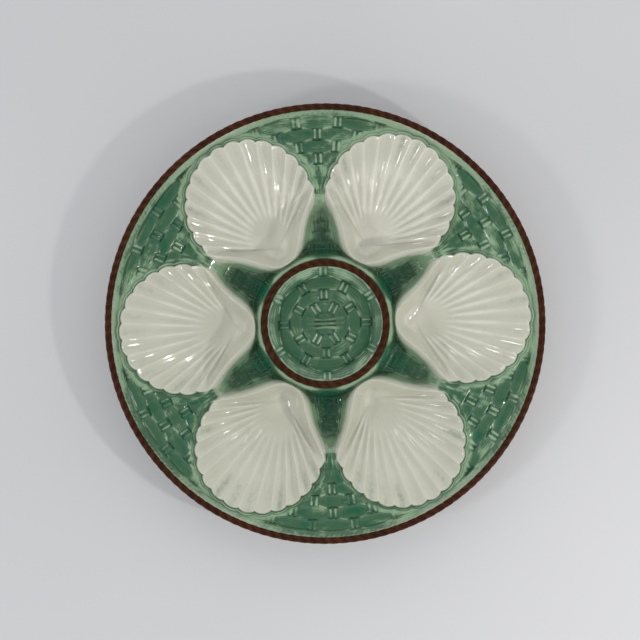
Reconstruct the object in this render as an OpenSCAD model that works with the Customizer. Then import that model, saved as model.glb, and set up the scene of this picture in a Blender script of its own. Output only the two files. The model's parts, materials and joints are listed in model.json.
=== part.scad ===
// Oyster plate: six fluted scallop wells round a woven centre, in basketwork with rope borders.
// The foot stands on z = 0, the centre of the plate is on the Z axis, and the first well lies along +X.

/* [Plate] */
// Diameter over the rope on the rim
plate_d = 245; // [225:1:270]
// Height from the foot to the top of the rim rope
plate_h = 26; // [24:0.5:32]
// Thickness of the body under the troughs and the centre
wall_t = 4.2; // [3.4:0.1:5.5]
// Thickness of the body's edge under the rim rope
edge_t = 3.4; // [2.6:0.1:5]
// Height of the saddle where two neighbouring shells come closest
saddle_h = 16.3; // [14:0.1:18]
// Distance from the middle of the plate to the saddle
saddle_r = 74; // [71:0.5:77]

/* [Foot] */
// Outer diameter of the foot ring
foot_d = 112; // [100:1:116]
// Width of the foot ring where it joins the base
foot_w = 6; // [4.5:0.1:8]
// Height of the foot ring
foot_h = 2.6; // [2:0.1:3.4]
// How far each side of the foot draws in towards the ground
foot_draft = 1.1; // [0.6:0.1:1.6]
// Flat of the base outside the foot ring
base_margin = 6; // [4:0.5:8]

/* [Rope borders] */
// Width of the rope on the rim
rim_rope_w = 3.3; // [2.6:0.1:4]
// Height of the rope on the rim
rim_rope_h = 2.9; // [2.2:0.1:3.6]
// Outer diameter of the rope round the centre
ring_rope_d = 72; // [66:0.2:75]
// Width of the rope round the centre
ring_rope_w = 4.1; // [3:0.1:4.8]
// Height of the rope round the centre
ring_rope_h = 2.8; // [2.2:0.1:3.6]
// How far the centre rope lies below the rim rope
ring_drop = 0.8; // [0:0.1:2]
// Distance from strand to strand along a rope
rope_pitch = 5.66; // [4.5:0.02:8]
// Depth of the hollow between two strands
rope_groove = 0.42; // [0.1:0.02:0.7]

/* [Scallop wells] */
// Distance from the rim's outer edge to the shell's lip
rim_margin = 7.7; // [6.5:0.1:10]
// Distance from the centre rope to the shell's hinge end
hinge_gap = 3.5; // [2.8:0.1:5.5]
// Width of the shell at its hinge end
hinge_w = 16.8; // [13:0.2:20]
// How far the hinge end bows out
hinge_bow = 2.3; // [1:0.1:3.5]
// Number of flutes in a shell
flutes = 15; // [11:2:19]
// How far each flute bulges out of the shell's edge
lobe_bulge = 1.4; // [0.5:0.1:1.8]
// Depth of a flute between its two ridges
flute_depth = 1.8; // [0.6:0.1:2.2]
// Width of the raised band round the fan
band_w = 1.7; // [1:0.1:2.4]
// Width of the margin between the band and the crest of the lip
margin_w = 0.8; // [0.4:0.1:1.2]
// Web left between the bands of two neighbouring shells
web_gap = 1.6; // [0.8:0.1:3]
// Thickness of the floor at the deepest place
floor_t = 4.2; // [3.2:0.1:5.5]
// Width of the flank that falls from the hinge end into a trough
flank_w = 8; // [5:0.1:9]
// How far the straight sides of the lip bow inwards
side_bow = 2; // [0.5:0.1:3]
// Width of the flank at the corner of the fan
corner_flank_w = 1; // [0.5:0.1:1.6]
// Width of the skirt between the hinge end and the centre collar
hinge_skirt_w = 1.5; // [0.8:0.1:2.4]
// Rise of the hinge end's lip above the seat of the centre rope
hinge_rise = 1.8; // [0.6:0.1:3]
// Rise of the lip above the weave at the saddle
saddle_rise = 2.3; // [1.2:0.1:3.5]
// Rise of the lip above the weave next to the rim
rim_rise = 1; // [0.4:0.1:1.8]
// Rise of the band above the weave
band_rise = 0.4; // [0.1:0.1:0.9]
// Length over which the band runs out into the flank, inwards from the saddle
band_fade_w = 4.5; // [3:0.1:6]

/* [Basketwork] */
// Thickness of the woven relief
weave_t = 1.6; // [1:0.1:2.2]
// Width of one woven row
row_w = 6.75; // [5.5:0.05:7.5]
// Width of the plain band that slopes up from the weave to the rim rope
rim_band_w = 3.3; // [2.6:0.1:5]
// How far the top of the plain band stands above the seat of the rim rope
rim_band_rise = 0.5; // [0.1:0.1:1.2]
// Width of one stake
stake_w = 1.5; // [0.8:0.05:2]
// Space between the two stakes of a pair
stake_gap = 1.3; // [0.5:0.05:1.6]
// How far the stakes stand above the weavers
stake_rise = 0.35; // [0.1:0.05:0.8]
// Depth of the dip where the weavers pass under the stakes
dip_depth = 0.8; // [0.4:0.05:0.95]
// Room at each side of a pair of stakes
dip_side = 0.5; // [0.2:0.05:0.8]
// Bevel on the top edges of a stake
stake_bevel = 0.3; // [0.1:0.05:0.35]

/* [Centre] */
// Height of the floor under the woven centre
centre_h = 16; // [14:0.1:18]
// How far the edge of the woven centre lies below the seat of its rope
centre_edge_drop = 1.5; // [0.8:0.1:2.4]
// Spacing of the three strands across the middle
bundle_pitch = 2.5; // [2:0.1:3]
// Thickness of a strand across the middle
bundle_w = 1.9; // [1.4:0.1:2]

/* [Hidden] */

$fn = 144;
cream = [0.84, 0.82, 0.76];
glaze_green = [0.33, 0.54, 0.42];
deep_green = [0.2, 0.42, 0.31];
rope_brown = [0.34, 0.17, 0.1];

// The six wells and the places between them
wells = 6;
well_step = 360 / wells;
half_step = well_step / 2;

// Radii from the rim inwards
plate_r = plate_d / 2;
rope_in_r = plate_r - rim_rope_w;
weave_out_r = rope_in_r - rim_band_w;
ring_out_r = ring_rope_d / 2;
ring_in_r = ring_out_r - ring_rope_w;
foot_out_r = foot_d / 2;
foot_in_r = foot_out_r - foot_w;
base_out_r = foot_out_r + base_margin;

// Heights of the seats and floors
rim_seat_z = plate_h - rim_rope_h;
ring_seat_z = plate_h - ring_drop - ring_rope_h;
trough_z = foot_h + wall_t;
web_rim_z = rim_seat_z + rim_band_rise - weave_t;
web_slope = (web_rim_z - saddle_h) / (rope_in_r - saddle_r);
web_tilt = atan(web_slope);

// Outline of a shell, seen from above with its axis along +X
lip_r = plate_r - rim_margin;
hinge_r = ring_out_r + hinge_gap;
fan_r = (lip_r * sin(half_step) - band_w - web_gap / 2) / (1 + sin(half_step));
fan_c = lip_r - fan_r;
fan_half_a = 113;
flute_steps = 4;
fan_steps = flutes * flute_steps;
side_steps = 3;
hinge_steps = 4;
// Bulge of the edge and height of the ridges at the four places of one flute
bulge_shares = [-1, -0.2, 0, -0.2];
ridge_shares = [0.6, -0.2, -0.4, -0.2];

// The well is deepest close to the hinge, and its flutes run together there
deep_share = 0.14;
deep_x = hinge_r + deep_share * (lip_r - hinge_r);
focus_share = 0.12;
focus_x = hinge_r + focus_share * (lip_r - hinge_r);
well_z = foot_h + floor_t;
bowl_power = 2.2;
top_shares = [0.87, 0.7, 0.5, 0.3];
under_shares = [0.72, 0.4];
under_flat_share = 0.35;
under_power = 1.3;
flute_from_share = 0.1;
flute_run_share = 0.55;
shelf_share = 0.45;
bend_share = 0.5;

// Shape of the trough between two shells: where it levels out and where it starts to rise
collar_foot_share = 0.17;
trough_rise_share = 0.45;
ease_steps = 5;
collar_lip_share = 0.1;

function ease(t) = (1 - cos(180 * min(1, max(0, t)))) / 2;
function mix(a, b, t) = a + (b - a) * t;

// Upper side of the body from the centre collar to the rim, as radius and height
collar_r = ring_out_r + collar_lip_share * hinge_gap;
trough_in_r = collar_r + collar_foot_share * (saddle_r - collar_r);
trough_out_r = mix(foot_out_r, saddle_r, trough_rise_share / 2);
web_line = concat(
    [for (i = [0 : ease_steps])
        [mix(collar_r, trough_in_r, i / ease_steps), mix(ring_seat_z, trough_z, ease(i / ease_steps))]],
    [for (i = [0 : ease_steps])
        [mix(trough_out_r, saddle_r, i / ease_steps), mix(trough_z, saddle_h, ease(i / ease_steps))]],
    [[rope_in_r, web_rim_z]]);
function web_z(r) = lookup(r, web_line);

// Height of the weave at the valley between two rows
valley_share = 0.3;

// Floor of the centre: flat in the middle, then up to the seat of the rope
centre_row_shares = [1, 0.824, 0.613, 0.415, 0.19];
centre_flat_r = ring_in_r * centre_row_shares[1];
centre_edge_z = ring_seat_z - centre_edge_drop;
centre_slope = (centre_edge_z - centre_h) / (ring_in_r - centre_flat_r);
centre_tilt = atan(centre_slope);

// Underside of the body, as radius and height. It rises under the centre and, further, under the collar.
base_in_r = ring_out_r;
dome_z = centre_h - wall_t;
dome_r = centre_flat_r + wall_t * tan(centre_tilt / 2);
hollow_r = (ring_in_r + ring_out_r) / 2;
hollow_z = dome_z + centre_slope * (hollow_r - dome_r);
hollow_round = wall_t / 4;
under_saddle_r = saddle_r + wall_t;
under_rim_r = plate_r - edge_t / 3;
under_rim_z = rim_seat_z - edge_t;
under_line = concat(
    [[0, dome_z], [dome_r, dome_z], [hollow_r - hollow_round, hollow_z - hollow_round * centre_slope],
     [hollow_r, hollow_z - hollow_round / 2], [hollow_r + hollow_round / 2, hollow_z - 2 * hollow_round],
     [base_in_r, foot_h]],
    [for (i = [0 : ease_steps])
        [mix(base_out_r, under_saddle_r, i / ease_steps),
         mix(foot_h, saddle_h - wall_t, ease(i / ease_steps))]],
    [[under_rim_r, under_rim_z]]);
function under_z(r) = lookup(r, under_line);

// Height of a shell's lip, from the saddle out to the rim and from the saddle in to the hinge
saddle_lip_z = saddle_h + weave_t + saddle_rise;
function lip_z(r) = r > saddle_r
    ? web_z(r) + weave_t + mix(saddle_rise, rim_rise, (r - saddle_r) / (lip_r - saddle_r))
    : mix(saddle_lip_z, ring_seat_z + hinge_rise, ease((saddle_r - r) / (saddle_r - hinge_r)));

// One closed outline: the fan with its flutes, a side, the hinge end and the other side.
// grow_fan, grow_corner, grow_side and grow_hinge widen it there. bow bends its sides inwards.
function fan_point(i, grow) = let (
        a = mix(-fan_half_a, fan_half_a, i / fan_steps),
        r = fan_r + grow + lobe_bulge * bulge_shares[i % flute_steps])
    [fan_c + r * cos(a), r * sin(a)];
function hinge_point(i, grow_side, grow_hinge) = let (
        t = mix(1, -1, i / hinge_steps))
    [hinge_r - grow_hinge + hinge_bow * t * t, (hinge_w / 2 + grow_side) * t];
function side_point(from, to, i, bow) = let (
        s = i / side_steps,
        run = (to - from) / norm(to - from))
    mix(from, to, s) + [-run[1], run[0]] * bow * 4 * s * (1 - s);
function shell_outline(grow_fan, grow_corner, grow_side, grow_hinge, bow) = let (
        fan = [for (i = [0 : fan_steps])
            fan_point(i, i == 0 || i == fan_steps ? grow_corner : grow_fan)],
        hinge = [for (i = [0 : hinge_steps]) hinge_point(i, grow_side, grow_hinge)],
        side_a = [for (i = [1 : side_steps - 1]) side_point(fan[fan_steps], hinge[0], i, bow)],
        side_b = [for (i = [1 : side_steps - 1]) side_point(hinge[hinge_steps], fan[0], i, bow)])
    concat(fan, side_a, hinge, side_b);

skirt_outline = shell_outline(band_w, corner_flank_w, flank_w, hinge_skirt_w, 0);
crest_outline = shell_outline(-margin_w, -margin_w, 0, 0, side_bow);
outline_n = len(crest_outline);

// A ray from the deepest point of the well runs towards the edge and turns into line with the hinge
function ray_point(edge, t) = let (
        deep = [deep_x, 0],
        bend = mix([focus_x, 0], edge, bend_share))
    deep * (1 - t) * (1 - t) + bend * 2 * t * (1 - t) + edge * t * t;
function flute_z(i, t) = i > fan_steps ? 0
    : flute_depth * ridge_shares[i % flute_steps] * ease((t - flute_from_share) / flute_run_share);
function bowl_z(i, t) = mix(well_z, lip_z(norm(crest_outline[i])), pow(t, bowl_power)) + flute_z(i, t);
function belly_z(i, t) = let (
        s = max(0, (t - under_flat_share) / (1 - under_flat_share)))
    mix(foot_h, under_z(norm(skirt_outline[i])), pow(s, under_power));
// The skirt lies on the trough at the sides and stands at the level of the band round the fan
function skirt_z(i) = let (
        r = norm(skirt_outline[i]),
        out = min(1, max(0, (r - saddle_r) / band_fade_w + 1)))
    web_z(r) + out * (weave_t + band_rise);
function lift(p, z) = [p[0], p[1], z];

shell_rings = concat(
    [[for (i = [0 : outline_n - 1]) lift(skirt_outline[i], under_z(norm(skirt_outline[i])))]],
    [[for (i = [0 : outline_n - 1]) lift(skirt_outline[i], skirt_z(i))]],
    [[for (i = [0 : outline_n - 1])
        lift(mix(skirt_outline[i], crest_outline[i], shelf_share),
             mix(skirt_z(i), bowl_z(i, 1), shelf_share * (i > fan_steps ? 1 : shelf_share)))]],
    [[for (i = [0 : outline_n - 1]) lift(crest_outline[i], bowl_z(i, 1))]],
    [for (t = top_shares)
        [for (i = [0 : outline_n - 1]) lift(ray_point(crest_outline[i], t), bowl_z(i, t))]]);
belly_rings = [for (t = under_shares)
    [for (i = [0 : outline_n - 1]) lift(ray_point(skirt_outline[i], t), belly_z(i, t))]];

// Two triangles for each square between two rings, and a fan of triangles to a middle point.
// Seen from outside, each runs clockwise.
function band_faces(low, high, n) = [for (i = [0 : n - 1]) let (j = (i + 1) % n)
    each [[low + i, high + i, high + j], [low + i, high + j, low + j]]];
function cap_faces(ring, mid, n) = [for (i = [0 : n - 1]) [ring + i, mid, ring + (i + 1) % n]];
function floor_faces(ring, mid, n) = [for (i = [0 : n - 1]) [ring + (i + 1) % n, mid, ring + i]];

module shell_solid() {
    tops = len(shell_rings);
    bellies = len(belly_rings);
    n = outline_n;
    mid_top = n * (tops + bellies);
    points = concat([for (ring = shell_rings) each ring], [for (ring = belly_rings) each ring],
        [[deep_x, 0, well_z], [deep_x, 0, foot_h]]);
    faces = concat(
        [for (k = [0 : tops - 2]) each band_faces(k * n, (k + 1) * n, n)],
        cap_faces((tops - 1) * n, mid_top, n),
        band_faces(tops * n, 0, n),
        [for (k = [tops : tops + bellies - 2]) each band_faces((k + 1) * n, k * n, n)],
        floor_faces((tops + bellies - 1) * n, mid_top + 1, n));
    polyhedron(points = points, faces = faces, convexity = 6);
}

module shell_well(k) {
    color(cream) rotate([0, 0, k * well_step]) shell_solid();
}

// Room for a shell in the body and in the weave
cut_over = plate_h;
module shell_room(k) {
    rotate([0, 0, k * well_step]) translate([0, 0, -cut_over])
        linear_extrude(plate_h + 2 * cut_over) polygon(skirt_outline);
}

// The body: one turned section with room for the six shells
edge_round = edge_t / 3;
collar_top = [[0, centre_h], [centre_flat_r, centre_h], [ring_in_r, centre_edge_z], [ring_in_r, ring_seat_z]];
rim_top = [[weave_out_r, web_z(weave_out_r)], [weave_out_r, web_z(weave_out_r) + valley_share * weave_t],
    [rope_in_r, web_rim_z + weave_t], [rope_in_r, rim_seat_z], [plate_r, rim_seat_z],
    [plate_r, under_rim_z + edge_round]];
web_top = [for (i = [0 : len(web_line) - 2]) web_line[i]];
under_back = [for (i = [len(under_line) - 1 : -1 : 0]) under_line[i]];

module plate_body() {
    color(deep_green) difference() {
        rotate_extrude() polygon(concat(collar_top, web_top, rim_top, under_back));
        for (k = [0 : wells - 1]) shell_room(k);
    }
}

module foot_ring() {
    color(cream) rotate_extrude() polygon([
        [foot_in_r, foot_h], [foot_in_r + foot_draft / 2, foot_draft / 2], [foot_in_r + foot_draft, 0],
        [foot_out_r - foot_draft, 0], [foot_out_r - foot_draft / 2, foot_draft / 2], [foot_out_r, foot_h]]);
}

// A rope laid in a ring: a flat base, and strands that wind round the upper side
rope_crest_a = 62;
rope_side_a = 14;
rope_angles = [0, rope_side_a, rope_crest_a, 180 - rope_crest_a, 180 - rope_side_a, 180];
rope_lay = 1;
rope_waist_share = 0.36;
rings_per_strand = 3;
function rope_section(w, h, phase) = [for (i = [0 : len(rope_angles) - 1]) let (
        a = rope_angles[i],
        based = i == 0 || i == len(rope_angles) - 1,
        wave = based ? 0 : rope_groove * (1 + cos(phase - rope_lay * a)) / 2,
        x = (w / 2 - wave) * cos(a),
        z = based ? 0 : mix(rope_waist_share * h, h - wave, sin(a) / sin(rope_crest_a)))
    [x, z]];

module rope(r, w, h, z) {
    strands = round(2 * PI * r / rope_pitch);
    rings = strands * rings_per_strand;
    n = len(rope_angles);
    points = [for (k = [0 : rings - 1]) let (a = 360 * k / rings)
        for (p = rope_section(w, h, 360 * k / rings_per_strand))
            [(r + p[0]) * cos(a), (r + p[0]) * sin(a), z + p[1]]];
    faces = [for (k = [0 : rings - 1]) let (here = k * n, next = ((k + 1) % rings) * n)
        for (i = [0 : n - 1]) let (j = (i + 1) % n)
            each [[here + i, here + j, next + j], [here + i, next + j, next + i]]];
    polyhedron(points = points, faces = faces, convexity = 8);
}

module rim_rope() {
    color(rope_brown) rope(plate_r - rim_rope_w / 2, rim_rope_w, rim_rope_h, rim_seat_z);
}

module centre_rope() {
    color(rope_brown) rope(ring_out_r - ring_rope_w / 2, ring_rope_w, ring_rope_h, ring_seat_z);
}

// A woven row is a low crown between two valleys
crown_shares = [[0, valley_share], [0.2, 0.82], [0.5, 1], [0.8, 0.82]];
function row_crown(r0, z0, r1, z1) = [for (s = crown_shares)
    [mix(r0, r1, s[0]), mix(z0, z1, s[0]) + weave_t * s[1]]];

// A pair of stakes lies along a spoke at radius r, rooted in the weave, and the weavers dip under it
stake_len_share = 0.9;
dip_len_share = 0.84;
pair_w = 2 * stake_w + stake_gap + 2 * dip_side;
stake_root = (weave_t - dip_depth) / 2;
stake_h = weave_t + stake_rise - stake_root;
stake_section = [[-stake_w / 2, 0], [stake_w / 2, 0], [stake_w / 2, stake_h - stake_bevel],
    [stake_w / 2 - stake_bevel, stake_h], [stake_bevel - stake_w / 2, stake_h],
    [-stake_w / 2, stake_h - stake_bevel]];
module on_spoke(a, r, z, tilt) {
    rotate([0, 0, a]) translate([r, 0, z]) rotate([0, -tilt, 0]) children();
}
module dip(row_len) {
    len = dip_len_share * row_len;
    translate([-len / 2, -pair_w / 2, weave_t - dip_depth]) cube([len, pair_w, weave_t]);
}
module stakes(row_len) {
    len = stake_len_share * row_len;
    for (side = [-1, 1])
        translate([-len / 2, side * (stake_w + stake_gap) / 2, stake_root])
            rotate([90, 0, 90]) linear_extrude(len) polygon(stake_section);
}

// Rows of the outer basketwork, from the rim inwards to where two shells come closest.
// The innermost rows are too narrow for stakes.
plain_rows = 2;
pinch_r = max(saddle_r, fan_c * cos(half_step));
rows = floor((weave_out_r - pinch_r) / row_w);
staked_rows = rows - plain_rows;
stake_step = 12;
function row_out_r(j) = weave_out_r - j * row_w;
function row_mid_r(j) = row_out_r(j) - row_w / 2;
// Half the angle that is open between two shells at radius r
function open_half_a(r) = let (
        reach = fan_r + band_w,
        c = (r * r + fan_c * fan_c - reach * reach) / (2 * r * fan_c))
    half_step - acos(min(1, max(-1, c)));
function row_stakes(j) = [for (a = [-2 * stake_step : stake_step : 2 * stake_step]) let (
        b = a + (j % 2 == 0 ? stake_step / 2 : 0))
    if (abs(b) < open_half_a(row_out_r(j))) b];
panel_half_a = open_half_a(weave_out_r);
panel_crowns = [for (j = [rows - 1 : -1 : 0])
    each row_crown(row_out_r(j + 1), web_z(row_out_r(j + 1)), row_out_r(j), web_z(row_out_r(j)))];
panel_section = concat(
    [[row_out_r(rows), web_z(row_out_r(rows))]], panel_crowns,
    [[weave_out_r, web_z(weave_out_r) + valley_share * weave_t], [weave_out_r, web_z(weave_out_r)]]);

module basket_panel(k) {
    color(glaze_green) difference() {
        rotate([0, 0, k * well_step + half_step]) {
            difference() {
                rotate([0, 0, -panel_half_a]) rotate_extrude(angle = 2 * panel_half_a) polygon(panel_section);
                for (j = [0 : staked_rows - 1], a = row_stakes(j))
                    on_spoke(a, row_mid_r(j), web_z(row_mid_r(j)), web_tilt) dip(row_w);
            }
            for (j = [0 : staked_rows - 1], a = row_stakes(j))
                on_spoke(a, row_mid_r(j), web_z(row_mid_r(j)), web_tilt) stakes(row_w);
        }
        shell_room(k);
        shell_room(k + 1);
    }
}

// The woven centre lies on the floor and climbs the inside of the collar with its outer row
centre_radii = [for (s = centre_row_shares) s * ring_in_r];
function centre_z(r) = centre_h + centre_slope * max(0, r - centre_flat_r);
centre_rows = len(centre_row_shares) - 1;
centre_crowns = [for (j = [centre_rows - 1 : -1 : 0])
    each row_crown(centre_radii[j + 1], centre_z(centre_radii[j + 1]), centre_radii[j], centre_z(centre_radii[j]))];
centre_section = concat([[0, centre_h], [0, centre_h + weave_t * valley_share]], centre_crowns,
    [[ring_in_r, centre_edge_z + valley_share * weave_t], [ring_in_r, centre_edge_z],
     [centre_flat_r, centre_h]]);
bundle_reach_share = 0.345;

// The places for stakes change from row to row. In the innermost row the strands across the middle
// take up two of them.
module centre_stakes(j) {
    mid = (centre_radii[j] + centre_radii[j + 1]) / 2;
    for (k = [0 : wells - 1])
        if (j < centre_rows - 1 || k % (wells / 2) != 0)
            on_spoke(k * well_step + (j % 2 == 0 ? half_step : 0), mid, centre_z(mid), j == 0 ? centre_tilt : 0)
                children();
}
module centre_weave() {
    bundle_len = 2 * bundle_reach_share * ring_in_r;
    color(glaze_green) union() {
        difference() {
            rotate_extrude() polygon(centre_section);
            for (j = [0 : centre_rows - 1])
                centre_stakes(j) dip(centre_radii[j] - centre_radii[j + 1]);
        }
        for (j = [0 : centre_rows - 1])
            centre_stakes(j) stakes(centre_radii[j] - centre_radii[j + 1]);
        for (i = [-1 : 1])
            translate([-bundle_len / 2, i * bundle_pitch - bundle_w / 2, centre_h])
                cube([bundle_len, bundle_w, weave_t + stake_rise]);
    }
}

plate_body();
foot_ring();
rim_rope();
centre_rope();
centre_weave();
shell_well(0);  // shell_well_1
shell_well(1);  // shell_well_2
shell_well(2);  // shell_well_3
shell_well(3);  // shell_well_4
shell_well(4);  // shell_well_5
shell_well(5);  // shell_well_6
basket_panel(0);  // basket_panel_1
basket_panel(1);  // basket_panel_2
basket_panel(2);  // basket_panel_3
basket_panel(3);  // basket_panel_4
basket_panel(4);  // basket_panel_5
basket_panel(5);  // basket_panel_6
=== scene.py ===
"""Looks of a majolica oyster plate: scallop wells, basketwork and rope borders under coloured glazes."""

import json
import math
from functools import partialmethod

import bpy
import numpy as np
from bpy.props import FloatProperty, FloatVectorProperty, IntProperty, PointerProperty
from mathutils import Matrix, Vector

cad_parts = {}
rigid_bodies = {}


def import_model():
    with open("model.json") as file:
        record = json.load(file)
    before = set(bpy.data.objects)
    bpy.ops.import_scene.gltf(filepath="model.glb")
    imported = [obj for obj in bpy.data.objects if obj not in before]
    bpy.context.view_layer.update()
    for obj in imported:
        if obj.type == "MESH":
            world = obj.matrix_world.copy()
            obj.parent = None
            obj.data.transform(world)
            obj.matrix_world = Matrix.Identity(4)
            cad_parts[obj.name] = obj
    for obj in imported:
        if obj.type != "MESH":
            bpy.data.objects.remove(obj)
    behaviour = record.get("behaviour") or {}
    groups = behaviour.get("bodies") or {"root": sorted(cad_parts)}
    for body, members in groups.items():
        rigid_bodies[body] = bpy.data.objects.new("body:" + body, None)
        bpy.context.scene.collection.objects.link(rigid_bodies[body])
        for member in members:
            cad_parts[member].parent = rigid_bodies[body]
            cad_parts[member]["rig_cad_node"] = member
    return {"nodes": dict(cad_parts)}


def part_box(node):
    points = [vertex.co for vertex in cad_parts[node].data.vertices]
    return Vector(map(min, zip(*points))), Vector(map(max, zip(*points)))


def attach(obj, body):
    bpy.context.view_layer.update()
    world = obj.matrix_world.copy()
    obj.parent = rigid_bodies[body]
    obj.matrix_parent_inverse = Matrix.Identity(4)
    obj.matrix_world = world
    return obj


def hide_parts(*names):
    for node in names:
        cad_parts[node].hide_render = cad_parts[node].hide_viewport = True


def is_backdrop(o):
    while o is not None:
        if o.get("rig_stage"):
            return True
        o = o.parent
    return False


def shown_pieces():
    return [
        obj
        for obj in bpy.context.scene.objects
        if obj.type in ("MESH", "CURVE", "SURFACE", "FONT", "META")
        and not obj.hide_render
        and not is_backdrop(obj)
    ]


bl_info = {
    "name": "Oyster Plate",
    "version": (1, 0, 0),
    "blender": (4, 5, 0),
    "location": "View3D > Sidebar > Plate",
    "description": "Builds a glazed oyster plate with scallop wells, basketwork and rope borders",
    "category": "Object",
}

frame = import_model()

MM = 0.001
WELLS = 6
WELL_STEP = 2 * math.pi / WELLS
HALF_STEP = WELL_STEP / 2
RIM_LOW, RIM_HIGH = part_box("rim_rope")
RING_LOW, RING_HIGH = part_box("centre_rope")
FOOT_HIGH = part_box("foot_ring")[1]
SHELLS = [f"shell_well_{k + 1}" for k in range(WELLS)]
PANELS = [f"basket_panel_{k + 1}" for k in range(WELLS)]


# Sizes and colours
def length(text, default_mm, about):
    """A length property, in metres, whose default is given in millimetres."""
    return FloatProperty(name=text, description=about, default=default_mm * MM, min=0, unit="LENGTH")


def colour(text, default, about):
    """A colour property, in linear light."""
    return FloatVectorProperty(name=text, description=about, default=default, size=3, min=0, max=1,
                               subtype="COLOR")


class PlateSizes(bpy.types.PropertyGroup):
    """Sizes of the plate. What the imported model's boxes settle is read from them."""

    plate_r: length("Plate radius", RIM_HIGH.x / MM, "Radius over the rope on the rim")
    plate_h: length("Plate height", RIM_HIGH.z / MM, "Height from the foot to the top of the rim rope")
    rim_seat: length("Rim seat", RIM_LOW.z / MM, "Height of the seat under the rim rope")
    ring_r: length("Centre rope radius", RING_HIGH.x / MM, "Radius over the rope round the centre")
    ring_top: length("Centre rope top", RING_HIGH.z / MM, "Height of the top of the centre rope")
    ring_seat: length("Centre seat", RING_LOW.z / MM, "Height of the seat under the centre rope")
    foot_r: length("Foot radius", FOOT_HIGH.x / MM, "Outer radius of the foot ring")
    foot_h: length("Foot height", FOOT_HIGH.z / MM, "Height of the foot ring")
    rim_rope_w: length("Rim rope width", 3.3, "Width of the rope on the rim")
    ring_rope_w: length("Centre rope width", 4.1, "Width of the rope round the centre")
    rope_pitch: length("Strand pitch", 5.66, "Distance from strand to strand along a rope")
    wall_t: length("Wall", 4.2, "Thickness of the body")
    edge_t: length("Edge", 3.4, "Thickness of the edge under the rim rope")
    saddle_h: length("Saddle height", 16.3, "Height of the web where two shells come closest")
    saddle_r: length("Saddle radius", 74, "Distance from the middle to the saddle")
    base_margin: length("Base margin", 6, "Flat of the base outside the foot ring")
    rim_margin: length("Rim margin", 7.7, "Distance from the rim's edge to a shell's lip")
    hinge_gap: length("Hinge gap", 3.5, "Distance from the centre rope to a shell's hinge end")
    hinge_w: length("Hinge width", 16.8, "Width of a shell at its hinge end")
    hinge_bow: length("Hinge bow", 2.3, "How far the hinge end bows out")
    side_bow: length("Side bow", 2.0, "How far the straight sides of a shell bow in")
    lobe_bulge: length("Lobe bulge", 1.4, "How far each flute bulges out of the edge")
    flute_depth: length("Flute depth", 1.8, "Depth of a flute between its two ridges")
    band_w: length("Band width", 1.7, "Width of the raised band round the fan")
    margin_w: length("Margin width", 0.8, "Width of the margin between the band and the crest")
    web_gap: length("Web gap", 1.6, "Web left between the bands of two neighbours")
    floor_t: length("Floor", 4.2, "Thickness of the floor at the deepest place")
    flank_w: length("Flank width", 8, "Width of the flank from the hinge end into a trough")
    corner_w: length("Corner flank", 1.0, "Width of the flank at the corner of the fan")
    hinge_skirt: length("Hinge skirt", 1.5, "Width of the skirt between the hinge end and the collar")
    hinge_rise: length("Hinge rise", 1.8, "Rise of the hinge end's lip above the centre seat")
    saddle_rise: length("Saddle rise", 2.3, "Rise of the lip above the weave at the saddle")
    rim_rise: length("Rim rise", 1.0, "Rise of the lip above the weave next to the rim")
    band_rise: length("Band rise", 0.4, "Rise of the band above the weave")
    weave_t: length("Weave", 1.6, "Thickness of the woven relief")
    row_w: length("Row width", 6.75, "Width of one woven row")
    rim_band_w: length("Rim band", 3.3, "Width of the plain band that slopes up to the rim rope")
    band_lift: length("Rim band lift", 0.5, "How far the plain band stands above the rope's seat")
    stake_w: length("Stake width", 1.5, "Width of one stake")
    stake_gap: length("Stake gap", 1.3, "Space between the two stakes of a pair")
    stake_rise: length("Stake rise", 0.35, "How far the stakes stand above the weavers")
    centre_h: length("Centre height", 16, "Height of the floor under the woven centre")
    centre_drop: length("Centre edge drop", 1.5, "How far the woven centre's edge lies below the seat")
    bundle_pitch: length("Bundle pitch", 2.5, "Spacing of the three strands across the middle")
    flutes: IntProperty(name="Flutes", description="Number of flutes in a shell", default=15, min=9, max=21)


class GlazeColours(bpy.types.PropertyGroup):
    """Colours of the glazes and of what is bare."""

    cream: colour("Cream", (0.55, 0.547, 0.458), "Cream glaze at its usual thickness")
    cream_deep: colour("Deep cream", (0.49, 0.495, 0.40), "Cream glaze where it pools")
    cream_thin: colour("Thin cream", (0.685, 0.675, 0.585), "Cream glaze on crests")
    green: colour("Green", (0.048, 0.12, 0.062), "Green glaze at its usual thickness")
    green_deep: colour("Deep green", (0.01, 0.1, 0.048), "Green glaze where it pools")
    green_thin: colour("Thin green", (0.25, 0.375, 0.235), "Green glaze on crests")
    brown: colour("Brown", (0.042, 0.0125, 0.005), "Brown glaze at its usual thickness")
    brown_deep: colour("Deep brown", (0.017, 0.0065, 0.004), "Brown glaze between the strands")
    brown_thin: colour("Thin brown", (0.085, 0.027, 0.012), "Brown glaze on the crests of the strands")
    clay: colour("Clay", (0.52, 0.43, 0.31), "Bare fired clay of the foot")
    table: colour("Table", (0.62, 0.62, 0.635), "Plain pale table top")


FAN_HALF_ANGLE = math.radians(113)
DEEPEST_SHARE = 0.14
FOCUS_SHARE = 0.12
COLLAR_SHARE = 0.1
TROUGH_IN_SHARE = 0.17
TROUGH_OUT_SHARE = 0.225
CENTRE_FLAT_SHARE = 0.824


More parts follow.
